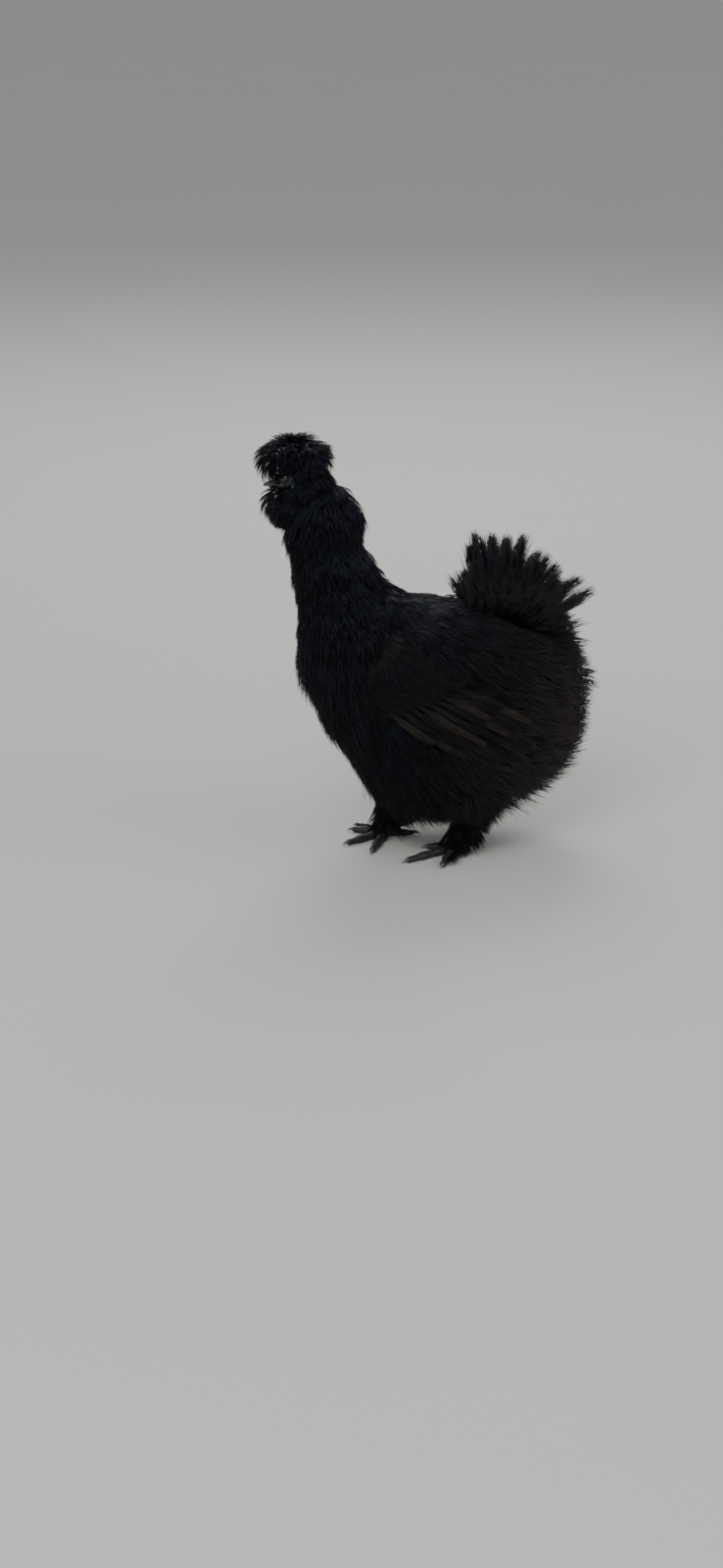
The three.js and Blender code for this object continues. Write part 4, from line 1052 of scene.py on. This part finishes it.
class HEN_OT_eyes(bpy.types.Operator):
    """Both eyes, wet and dark, with pupil and iris"""

    bl_idname = "hen.eyes"
    bl_label = "Eyes"

    def execute(self, context):
        rows, sides = 18, 28
        for name, side in SIDES.items():
            rings, share = [], []
            for a in np.linspace(0.02, math.pi - 0.02, rows):
                # The cornea stands a little proud of the ball
                r = EYE_RADIUS * (0.985 + 0.035 * math.exp(-((a / 0.62) ** 4)))
                for t in np.arange(sides) / sides * TAU:
                    x, z = r * math.sin(a) * math.cos(t), r * math.sin(a) * math.sin(t)
                    rings.append([x, side * (r * math.cos(a)), z])
                    # From the pupil's edge to the iris
                    share.append(min(max((a - 0.5) / 0.12, 0), 1))
            points, faces = tube_faces(np.array(rings), rows, sides)
            points = on_head(points + np.array([EYE_AT[0], side * EYE_AT[1], EYE_AT[2]]))
            shell(f"eyeball_{name}", points, faces, share + [0, 1], "eye", "eye", f"eye_{name}")
        return {"FINISHED"}


class HEN_OT_beak(bpy.types.Operator):
    """Upper and lower beak, with nostrils and the line of the mouth"""

    bl_idname = "hen.beak"
    bl_label = "Beak"

    def execute(self, context):
        rows, sides = 22, 24
        for name, upper in (("upper", True), ("lower", False)):
            reach = BEAK_TIP[0] + (0 if upper else 4) - BEAK_ROOT
            wide, deep, part = (4.6, 5.0, 0.0) if upper else (4.6 * 0.82, 2.7, 0.2)
            rings, share = [], []
            for s in np.linspace(0, 0.985, rows):
                x = BEAK_ROOT + reach * s
                taper = math.sqrt(1 - s**2 * 0.93)
                along = (x - BEAK_ROOT) / (BEAK_TIP[0] - BEAK_ROOT)
                mouth = MOUTH_HEIGHT + (BEAK_TIP[2] - MOUTH_HEIGHT) * along**2 - part
                for a in np.arange(sides) / sides * TAU:
                    c, n = math.cos(a), math.sin(a)
                    # A ridge along the top, and an edge a little hollow beneath
                    ridge = deep * taper * (n ** 0.9 if n > 0 else -0.12 * abs(n))
                    z = mouth + (ridge if upper else -ridge)
                    y = wide * taper * math.copysign(abs(c) ** (0.9 if n > 0 else 0.8), c)
                    nostril = math.exp(-(((x + 20.5) / 1.5) ** 2) - ((z + 2.5) / 0.8) ** 2) if upper else 0
                    rings.append([x, y * (1 - 0.22 * nostril), z])
                    share.append(s)
            points, faces = tube_faces(np.array(rings), rows, sides)
            share = np.array(share + [0, 1]) * 0.6
            shell(f"beak_{name}_horn", on_head(points), faces, share, "horn", "beak", f"beak_{name}")
        return {"FINISHED"}


class HEN_OT_comb_and_lobes(bpy.types.Operator):
    """Walnut comb, wattles and turquoise earlobes"""

    bl_idname = "hen.comb_and_lobes"
    bl_label = "Comb and lobes"

    def execute(self, context):
        dice = np.random.default_rng(5)
        bulbs = [ball(on_head([-13.5, 0, 9]), (4.2, 4.8, 3.4))]
        for i in range(COMB_KNOBS):
            # Knobs spread over the cushion in a spiral
            a, r = i * 2.4, math.sqrt((i + 0.5) / COMB_KNOBS)
            x, y = -13.5 - 4.2 * r * math.cos(a), 4.6 * r * math.sin(a)
            z = 9.4 + 3.3 * math.sqrt(max(1 - r**2, 0.02))
            size = dice.uniform(0.75, 1.15)
            bulbs.append(ball(on_head([x, y, z]), (size, size, size), 10, 7))
        settle(remeshed("walnut_comb", bulbs, material("comb"), cell=0.3, smoothing=2), "comb", "comb")
        for name, side in SIDES.items():
            for piece, kind, slot, node, at, radii in (
                ("lobe", "lobe", "earlobe", "earlobe", (-1.5, 12.6, -4.5), (2.9, 1.6, 4.1)),
                ("wattle_skin", "comb", "comb", "wattle", (-15, 4.6, -10.5), (3.1, 1.8, 4.1)),
            ):
                bodies = self.fold(side, at, radii, dice)
                fold = remeshed(f"{piece}_{name}", bodies, material(kind), cell=0.3, smoothing=3)
                settle(fold, slot, f"{node}_{name}")
        return {"FINISHED"}

    def fold(self, side, at, radii, dice):
        """A hanging fold of skin with soft creases."""
        x, y, z = at
        bodies = [ball(on_head([x, side * y, z]), radii)]
        for share in (np.arange(5) - 2) / 2.4:
            place = on_head([x + radii[0] * share * 0.8, side * (y + 0.35), z - dice.uniform(0, 0.6)])
            crease = (0.7, radii[1] * 0.95, radii[2] * math.sqrt(1 - share**2 * 0.8))
            bodies.append(ball(place, crease, 10, 8))
        return bodies


class HEN_OT_claws(bpy.types.Operator):
    """Ten curved claws"""

    bl_idname = "hen.claws"
    bl_label = "Claws"

    def execute(self, context):
        for name, leg in LEGS.items():
            for i in range(5):
                points, faces, share = self.claw(*toe_line(leg, i))
                shell(f"nail_{name}_{i + 1}", points, faces, share, "claw", "claw", f"claw_{name}_{i + 1}")
        return {"FINISHED"}

    def claw(self, start, tip):
        """One claw at the end of the toe from start to tip."""
        rows, sides = 12, 14
        way = unit(tip - start)
        base = tip - way * (CLAW_LENGTH - 0.6)
        side = unit(np.cross([0, 0, 1.0], way))
        up = np.cross(way, side)
        rings, share = [], []
        for s in np.linspace(0, 0.97, rows):
            droop = np.array([0, 0, 3.6 * s * (1 - s) - 1.2 * s])
            middle = base + way * (CLAW_LENGTH - 0.2) * s + droop
            r = CLAW_RADIUS * (1 - s**1.4) + 0.12
            for a in np.arange(sides) / sides * TAU:
                wide, tall = math.cos(a), math.sin(a)
                # Rounder above than below
                height = (1.05 if tall > 0 else 0.8) * tall
                rings.append(middle + side * r * 0.85 * wide + up * r * height)
                share.append(s)
        points, faces = tube_faces(np.array(rings), rows, sides)
        points[:, 2] = np.maximum(points[:, 2], SOLE_HEIGHT)
        return points, faces, share + [0, 1]


class HEN_OT_neck_coat(bpy.types.Operator):
    """Hackles that fall over the shoulders"""

    bl_idname = "hen.neck_coat"
    bl_label = "Hackles"

    def execute(self, context):
        sizes = context.scene.hen_plumage
        for name, seed, vs in (("right", 36, RIGHT_HALF), ("left", 35, LEFT_HALF)):
            u, v = scatter(TRUNK, sizes.neck_spacing / MM, seed, (0.0, 0.36), vs)
            roots = Roots(seed, "hackle")
            length = sizes.neck_length / MM * (0.85 + 0.6 * u)
            plant_trunk(roots, u, v, length, spread=0.95, worn=0.03, turn=0.14)
            roots.grow(f"hackles_{name}", "plumage", ["neck"], fall=2.5, ruffle=4.5, ruffle_size=14)
        return {"FINISHED"}


class HEN_OT_body_coat(bpy.types.Operator):
    """Plumes of breast, back, flanks and belly"""

    bl_idname = "hen.body_coat"
    bl_label = "Body coat"

    def execute(self, context):
        sizes = context.scene.hen_plumage
        length, spacing = sizes.body_length / MM, sizes.body_spacing / MM
        for name, seed, us, (low, high) in (
            ("breast", 41, (0.34, 0.60), (1.05, 1.95)),
            ("shoulders", 42, (0.34, 0.60), (-0.05, 1.05)),
            ("belly", 43, (0.60, 0.80), (1.15, 1.85)),
            ("flank_right", 44, (0.60, 0.80), (-0.15, 0.5)),
            ("flank_left", 45, (0.60, 0.80), (0.5, 1.15)),
        ):
            vs = (low * math.pi, high * math.pi)
            grow_trunk(f"coat_{name}", "torso", "plumage", "body", seed, us, vs, spacing, length)
        self.fringe()
        length, spacing = sizes.fluff_length / MM, spacing * 0.93
        for name, seed, vs in (("right", 53, RIGHT_HALF), ("left", 54, LEFT_HALF)):
            us = (0.80, 0.99)
            grow_trunk(f"fluff_{name}", "rump", "rear_fluff", "fluff", seed, us, vs, spacing, length)
        return {"FINISHED"}

    def fringe(self):
        """Long plumes that hang from the belly between the legs."""
        roots, n = Roots(61, "fringe"), 360
        u = roots.dice.uniform(0.67, 0.80, n)
        v = -math.pi / 2 + roots.dice.normal(0, 0.34, n)
        points, _, _, out = TRUNK.frame(u, v, -SKIN_DEPTH)
        ways = unit(np.array([0.3, 0, -1.0]) + 0.25 * out + roots.dice.normal(0, 0.08, (n, 3)))
        length = (points[:, 2] - np.interp(u, [0.67, 0.8], [33, 10])) * roots.dice.uniform(0.75, 1.0, n)
        roots.add(points, ways, out, length, length * 0.9, *trunk_map(u, v), worn=0.1, sunned=0.6)
        roots.grow("belly_fringe", "plumage", ["torso"], fall=0.0, ruffle=5.0, ruffle_size=18)


def head_way(x, y, z):
    """A way given in the head's own axes, in the hen's."""
    return unit(on_head([x, y, z]) - HEAD_AT)


def head_map(u, v, along):
    """Places across and along the coat's map, for a round patch of it."""
    return 0.73 + 0.1 * u * np.cos(v), along + 0.1 * u * np.sin(v)


class HEN_OT_crest_and_beard(bpy.types.Operator):
    """Powder-puff crest, beard and muffs"""

    bl_idname = "hen.crest_and_beard"
    bl_label = "Crest and beard"

    def execute(self, context):
        self.crest(context.scene.hen_plumage.crest_length / MM)
        self.beard()
        self.nape()
        return {"FINISHED"}

    def crest(self, length):
        """Plumes that stand up on top, are short over the eyes and longer over the forehead."""
        roots = Roots(11, "crown")
        u, v = scatter(CREST, 2.3, 11, (0.0, 0.60))
        points, along, _, out = CREST.frame(np.maximum(u, 0.01), v, -SKIN_DEPTH)
        over_eye = (u > 0.34) & (np.abs(np.sin(v)) > 0.6) & (np.cos(v) < 0.45)
        forehead = (u > 0.28) & (np.cos(v) < -0.45)
        length = length * roots.dice.uniform(0.8, 1.0, len(u)) * np.where(over_eye, 0.5, 1.0)
        length = length * np.where(u < 0.22, 0.88, 1.0) * np.where(forehead, 1.18, 1.0)
        lift = np.radians(np.interp(u, [0, 0.12, 0.3, 0.6], [70, 57, 42, 14]))
        lift = lift * roots.dice.uniform(0.85, 1.15, len(u))
        ways = lifted(turned(unit(along), out, roots.dice.normal(0, 0.35, len(u))), out, lift)
        roots.add(points, ways, out, length, length, *head_map(u, v, 0.18), worn=0.03)
        roots.grow("crest_plumes", "plumage", ["crest"], fall=1.0, ruffle=4, ruffle_size=9)

    def beard(self):
        """Plumes that hang from the throat, with the muffs beside them."""
        roots = Roots(23, "crown")
        u, v = scatter(BEARD, 2.5, 23, (0.12, 0.95))
        keep = (np.cos(v) < 0.75) | (u > 0.55)
        u, v = u[keep], v[keep]
        ahead = np.clip(-np.cos(v), 0, 1)
        points, along, _, out = BEARD.frame(u, v, -2)
        length = 14 * roots.dice.uniform(0.85, 1.25, len(u)) * np.interp(u, [0.16, 0.4], [0.6, 1.0])
        length = length * (1 + 0.18 * ahead * np.interp(u, [0.3, 0.6], [1, 0]))
        lift = np.radians(np.interp(u, [0.16, 0.5, 0.95], [14, 30, 50]))
        lift = lift * roots.dice.uniform(0.8, 1.2, len(u)) + 0.75 * ahead * np.interp(u, [0.2, 0.5], [1, 0])
        down = unit(unit(along) + np.array([0, 0, -0.35]))
        ways = lifted(turned(down, out, roots.dice.normal(0, 0.25, len(u))), out, lift)
        roots.add(points, ways, out, length, length, *head_map(u, v, 0.48), worn=0.03)
        self.muffs(roots)
        roots.grow("beard_plumes", "plumage", ["beard"], fall=1.5, ruffle=3, ruffle_size=8)

    def muffs(self, roots):
        """Plumes of the cheeks: below the eyes, over the earlobes and up to the beak."""
        for side in SIDES.values():
            for n, us, vs, lengths, down in (
                (150, (0.22, 0.76), (-0.75, -0.22), (12, 17), 0.6),
                (46, (0.22, 0.50), (-0.22, 0.40), (9, 13), 0.8),
                (36, (0.74, 0.92), (-1.10, -0.45), (7, 10), 1.0),
            ):
                u, v = roots.dice.uniform(*us, n), roots.dice.uniform(*vs, n)
                v = v if side < 0 else math.pi - v
                points, _, _, out = SKULL.frame(u, v, -1.0)
                ways = head_way(0.55, 0.45 * side, -down) + 0.2 * out + roots.dice.normal(0, 0.14, (n, 3))
                length = roots.dice.uniform(*lengths, n)
                across, along = 0.73 + 0.1 * u, 0.60 + 0.03 * side + 0.01 * v / TAU
                roots.add(points, unit(ways), out, length, length * 0.8, across, along, worn=0.03)

    def nape(self):
        """Plumes behind the head and over the neck's end, which close the way from crest to hackles."""
        roots, n = Roots(29, "hackle"), 240
        u, v = roots.dice.uniform(0.02, 0.4, n), roots.dice.uniform(-0.5, math.pi + 0.5, n)
        points, _, _, out = SKULL.frame(u, v, -1.0)
        ways = unit(head_way(0.6, 0, -0.75) + 0.3 * out + roots.dice.normal(0, 0.1, (n, 3)))
        length = roots.dice.uniform(15, 21, n)
        roots.add(points, ways, out, length, length, 0.84 + 0.1 * u, 0.15 + 0.1 * v / TAU, worn=0.03)
        # A bunch that hangs over the rim of the neck
        n = 170
        v = np.linspace(-0.9, math.pi + 0.9, n)
        rim = TRUNK.frame(0, v, -SKIN_DEPTH)[0]
        centre = rim.mean(axis=0)
        up = unit(centre - TRUNK.frame(0.06, v, -SKIN_DEPTH)[0].mean(axis=0))
        share = np.sqrt(roots.dice.uniform(0.15, 1.0, n))
        points = centre + (rim - centre) * share[:, None] - 0.5 * up
        ways = unit(unit(rim - centre) + np.array([0, 0, -0.75]) + roots.dice.normal(0, 0.1, (n, 3)))
        length = roots.dice.uniform(12, 17, n)
        roots.add(points, ways, up, length, length, 0.84 + 0.04 * share, 0.27 + 0.02 * v / TAU, worn=0.03)
        roots.grow("nape_plumes", "plumage", ["neck"], fall=4.0, ruffle=3.0, ruffle_size=10)


class HEN_OT_wings(bpy.types.Operator):
    """Frayed flight feathers in tiers, with soft coverts over them"""

    bl_idname = "hen.wings"
    bl_label = "Wings"

    def execute(self, context):
        for name, side in SIDES.items():
            self.flights(name, side)
            self.coverts(name, side)
        return {"FINISHED"}

    def flights(self, name, side):
        """Three tiers of flight feathers, every third one worn."""
        roots, vane = Roots(67 + side, "flight"), 2 * PLUMES["flight"]["width"]
        # Count, back and up at the roots, back and up at the tips, heights over the flank, and width
        for n, back, up, end_back, end_up, low, high, width in (
            (12, (52, 90), (-18, 8), (WING_LENGTH - 50, WING_LENGTH - 2), (-28, 1), 5.0, 13.0, 8),
            (10, (38, 80), (-17, 11), (92, 132), (-26, 8), 8.5, 14.5, 8.5),
            (9, (22, 60), (-15, 12), (70, 108), (-24, 13), 11.0, 15.0, 9.5),
        ):
            share = np.linspace(0, 1, n)
            start, _, _, out = on_wing(between(share, back), between(share, up), side, low)
            jitter = roots.dice.normal(0, 1.6, (2, n))
            end_back, end_up = between(share, end_back) + jitter[0] * 1.5, between(share, end_up) + jitter[1]
            way = on_wing(end_back, end_up, side, high)[0] - start
            worn = np.where(np.arange(n) % 3 == 0, 1.0, 0.1)
            length = np.linalg.norm(way, axis=1)
            across, along = 0.70 + 0.1 * share, 0.62 + 0.05 * side
            roots.add(start, unit(way), out, length, width / vane, across, along, worn, sunned=0.6)
        roots.grow(f"flights_{name}", "plumage", [f"wing_{name}"], fall=1.0, ruffle=3.5, ruffle_size=20)

    def coverts(self, name, side):
        """Soft plumes over the folded arm."""
        roots, n = Roots(71 + side, "body"), 420
        back = roots.dice.uniform(-4, 54, n)
        up = roots.dice.uniform(-1, 1, n) * (26 - 0.08 * back)
        points, _, _, out = on_wing(back, up, side, 4.0)
        ahead = on_wing(back + 6, up * 0.96, side, 4.5)[0]
        ways = lifted(turned(unit(ahead - points), out, roots.dice.normal(0, 0.12, n)), out, 0.2)
        length = np.interp(back, [0, 54], [24, 28]) * roots.dice.uniform(0.85, 1.15, n)
        across, along = 0.82 + 0.001 * back, 0.62 + 0.05 * side + 0.0008 * up
        roots.add(points, ways, out, length, length * 0.95, across, along, worn=0.2, sunned=0.8)
        roots.grow(f"coverts_{name}", "plumage", [f"wing_{name}"], fall=2.0, ruffle=4.0, ruffle_size=18)


class HEN_OT_tail(bpy.types.Operator):
    """Fan of soft frayed vanes, and the cushion before it"""

    bl_idname = "hen.tail"
    bl_label = "Tail"

    def execute(self, context):
        self.fan()
        self.cushion()
        return {"FINISHED"}

    def fan(self):
        """Three tiers of vanes on each side."""
        roots, n = Roots(83, "fan"), 9
        for side in SIDES.values():
            # How far the vanes splay and reach, where they start, and how much the first leans ahead
            for splay, reach, root, lean in ((6, 1.1, 14, 0.0), (15, 0.95, 12, 0.09), (20, 0.78, 10, 0.2)):
                share = (np.arange(n) + (0.5 if side > 0 else 0.0)) / n
                angle = FAN_TOP + lean + (FAN_BOTTOM + 0.1 - FAN_TOP - lean) * share
                angle = angle + roots.dice.normal(0, 0.03, n)
                way = xyz(np.cos(angle), 0, np.sin(angle))
                radius = FAN_RADIUS * reach * roots.dice.uniform(0.9, 1.06, n)
                radius = radius * np.interp(share, [0, 0.3, 0.7, 0.85, 1], [1.0, 1, 0.94, 0.94, 1.1])
                start = STUB_AT + way * root + np.array([0, 4 * side, 0])
                end = STUB_AT + way * radius[:, None]
                end[:, 1] += side * (4 + splay * (0.5 + share))
                end[:, 2] -= 4 * np.cos(angle)
                out = unit(xyz(0.25 * np.sin(angle), side, -0.25 * np.cos(angle)))
                length = np.linalg.norm(end - start, axis=1)
                across, along = 0.70 + 0.1 * share, 0.78 + 0.03 * side + 0.002 * splay
                worn = roots.dice.uniform(0.05, 0.3, n)
                sunned = 0.1 + 0.4 * share
                roots.add(start, unit(end - start), out, length, FAN_PLUME_WIDTH, across, along, worn, sunned)
        roots.grow("tail_fan", "rear_fluff", ["tail"], fall=2.0, ruffle=6.0, ruffle_size=24)

    def cushion(self):
        """Fluff round the tail's root."""
        roots, n = Roots(89, "fluff"), 760
        side = np.where(np.arange(n) % 2, 1.0, -1.0)
        angle = FAN_TOP + math.radians(12) - math.radians(132) * roots.dice.random(n)
        back, above = np.cos(angle), np.sin(angle)
        lean = roots.dice.uniform(0.0, 0.62, n)
        deep = roots.dice.uniform(0.55, 0.98, n)
        points = STUB_AT + xyz(
            deep * STUB_RADII[0] * back * 0.9, side * lean * STUB_RADII[1] * 1.2,
            deep * STUB_RADII[2] * above * 0.9)
        ways = unit(xyz(back, 0.75 * side * lean, above) + roots.dice.normal(0, 0.1, (n, 3)))
        out = unit(xyz(0.3 * back, side, 0.3 * above))
        length = roots.dice.uniform(26, 40, n) + 8 * (angle < 0.25)
        across, along = 0.84 + 0.06 * back, 0.80 + 0.04 * side * (lean + 0.2)
        roots.add(points, ways, out, length, length, across, along, worn=0.12, sunned=0.7)
        roots.grow("tail_cushion", "rear_fluff", ["tail"], fall=2.0, ruffle=6.0, ruffle_size=18)


class HEN_OT_leg_fluff(bpy.types.Operator):
    """Fluff of the thighs, and feathers down shanks and outer toes"""

    bl_idname = "hen.leg_fluff"
    bl_label = "Leg fluff"

    def execute(self, context):
        for name, leg in LEGS.items():
            self.thigh(name, leg)
            self.boots(name, leg)
        return {"FINISHED"}

    def thigh(self, name, leg):
        """Fluff that hangs round the thigh."""
        roots, n = Roots(97 + leg["side"], "fluff"), 330
        hip, hock = np.array(leg["hip"], float), np.array(leg["hock"], float)
        share = roots.dice.uniform(0.25, 1.0, n)
        angle = roots.dice.uniform(0, TAU, n)
        out = xyz(np.cos(angle), np.sin(angle), 0)
        radius = THIGH_RADIUS * np.interp(share, [0, 0.5, 1], [0.8, 0.7, 0.3]) - 2
        points = hip + (hock - hip) * share[:, None] + out * radius[:, None]
        ways = unit(out * 0.42 + np.array([0.1, 0, -0.9]) + roots.dice.normal(0, 0.08, (n, 3)))
        length = np.interp(share, [0.25, 1], [40, 27]) * roots.dice.uniform(0.85, 1.1, n)
        across, along = 0.70 + 0.1 * share, 0.90 + 0.02 * leg["side"] + 0.01 * np.sin(angle)
        roots.add(points, ways, out, length, length, across, along, worn=0.15, sunned=0.8)
        nodes = [f"thigh_{name}"]
        roots.grow(f"thigh_fluff_{name}", "rear_fluff", nodes, fall=2.0, ruffle=4.0, ruffle_size=16)

    def boots(self, name, leg):
        """Feathers down the shank, more on its outer side, and along the outer toe."""
        roots, n = Roots(113 + leg["side"], "hackle"), 260
        hock, ankle = np.array(leg["hock"], float), np.array(leg["ankle"], float)
        share = roots.dice.uniform(0.0, 0.95, n)
        front, outer = roots.dice.normal(-1.6, 0.9, n), roots.dice.normal(0.7, 0.9, n)
        swing = np.where(np.arange(n) % 5 < 2, front, outer)
        out = xyz(np.sin(swing), leg["side"] * np.cos(swing), 0)
        points = hock + (ankle - hock) * share[:, None] + out * (SHANK_RADIUS - 1.5)
        ways = unit(out * between(share, [0.5, 1.0])[:, None] + np.array([0.1, 0, -0.75]))
        length = np.minimum(roots.dice.uniform(15, 26, n), 1.35 * points[:, 2])
        across, along = 0.86 + 0.05 * share, 0.90 + 0.02 * leg["side"] + 0.01 * np.sin(swing)
        roots.add(points, ways, out, length, length * 0.9, across, along, worn=0.05, sunned=0.4)
        start, tip = toe_line(leg, 2)
        n = 60
        share = roots.dice.uniform(0.02, 0.62, n)
        way = unit(tip - start)
        out = np.array([way[1], -way[0], 0]) * leg["side"]
        points = start + (tip - start) * share[:, None] + out * 1.5
        points[:, 2] = 5.2
        on, aside = np.interp(share, [0, 0.6], [0.5, 0.9]), roots.dice.uniform(0.2, 0.9, n)
        ways = unit(way * on[:, None] + out * aside[:, None] + np.array([0, 0, 0.02]))
        length = roots.dice.uniform(9, 15, n)
        across, along = 0.92 + 0.05 * share, 0.90 + 0.02 * leg["side"]
        up = np.array([0, 0, 1.0])
        roots.add(points, ways, up, length, length * 0.8, across, along, worn=0.05, sunned=0.4)
        nodes = [f"shank_{name}", f"foot_{name}"]
        roots.grow(f"boots_{name}", "plumage", nodes, fall=1.0, ruffle=1.5, ruffle_size=12)


class HEN_OT_stage(bpy.types.Operator):
    """Pale floor, soft light and the camera"""

    bl_idname = "hen.stage"
    bl_label = "Stage"

    def execute(self, context):
        scene = context.scene
        mesh = bpy.data.meshes.new("floor")
        corners = [(x * FLOOR_REACH, y * FLOOR_REACH, 0) for x, y in ((-1, -1), (1, -1), (1, 1), (-1, 1))]
        mesh.from_pydata(corners, [], [(0, 1, 2, 3)])
        mesh.materials.append(floor_material("Pale matt floor", linear("#c9c6c1")))
        floor = bpy.data.objects.new("floor", mesh)
        scene.collection.objects.link(floor)
        scene.world = bpy.data.worlds.new("Pale studio")
        scene.world.use_nodes = True
        back = scene.world.node_tree.nodes["Background"]
        back.inputs["Color"].default_value = linear("#e9ecf0")
        back.inputs["Strength"].default_value = 0.55
        centre = Vector(SHIFT) + Vector((0, 0, LIT_HEIGHT))
        for name, (place, size, power) in LAMPS.items():
            light = bpy.data.lights.new(name, "AREA")
            light.size = size
            light.energy = power
            lamp = bpy.data.objects.new(name, light)
            lamp.location = centre + Vector(place)
            lamp.rotation_euler = (centre - lamp.location).to_track_quat("-Z", "Y").to_euler()
            scene.collection.objects.link(lamp)
        lens = bpy.data.cameras.new("camera")
        lens.sensor_fit = "VERTICAL"
        lens.sensor_height = SENSOR_HEIGHT
        lens.lens = LENS
        scene.camera = bpy.data.objects.new("camera", lens)
        scene.collection.objects.link(scene.camera)
        right = Vector((math.cos(CAMERA_YAW), -math.sin(CAMERA_YAW), 0))
        ahead = Vector((math.sin(CAMERA_YAW), math.cos(CAMERA_YAW), 0))
        view = ahead * math.cos(CAMERA_PITCH) - Vector((0, 0, math.sin(CAMERA_PITCH)))
        turn = Matrix((right, right.cross(view), -view)).transposed().to_4x4()
        scene.camera.matrix_world = Matrix.Translation(Vector(CAMERA_AT) + Vector(SHIFT)) @ turn
        return {"FINISHED"}


class HEN_PT_panel(bpy.types.Panel):
    """Steps that build the hen"""

    bl_idname = "HEN_PT_panel"
    bl_label = "Silkie Hen"
    bl_space_type = "VIEW_3D"
    bl_region_type = "UI"
    bl_category = "Hen"

    def draw(self, context):
        for settings in (context.scene.hen_plumage, context.scene.hen_colours):
            for name in settings.bl_rna.properties.keys():
                if name not in ("rna_type", "name"):
                    self.layout.prop(settings, name)
        for step in STEPS:
            self.layout.operator(step.bl_idname)


STEPS = (
    HEN_OT_stage,
    HEN_OT_skin,
    HEN_OT_eyes,
    HEN_OT_beak,
    HEN_OT_comb_and_lobes,
    HEN_OT_claws,
    HEN_OT_neck_coat,
    HEN_OT_body_coat,
    HEN_OT_crest_and_beard,
    HEN_OT_wings,
    HEN_OT_tail,
    HEN_OT_leg_fluff,
)
CLASSES = (HenPlumage, HenColours) + STEPS + (HEN_PT_panel,)


def register():
    for each in CLASSES:
        bpy.utils.register_class(each)
    bpy.types.Scene.hen_plumage = bpy.props.PointerProperty(type=HenPlumage)
    bpy.types.Scene.hen_colours = bpy.props.PointerProperty(type=HenColours)


def unregister():
    del bpy.types.Scene.hen_colours
    del bpy.types.Scene.hen_plumage
    for each in reversed(CLASSES):
        bpy.utils.unregister_class(each)


def main():
    register()
    for step in STEPS:
        group, name = step.bl_idname.split(".")
        result = getattr(getattr(bpy.ops, group), name)()
        if result != {"FINISHED"}:
            raise RuntimeError(f"{step.bl_label} did not finish")
    # The single plumes have done their work
    for folder in SETS.values():
        for spare in list(folder.objects):
            bpy.data.objects.remove(spare)
        bpy.data.collections.remove(folder)


if __name__ == "__main__":
    main()
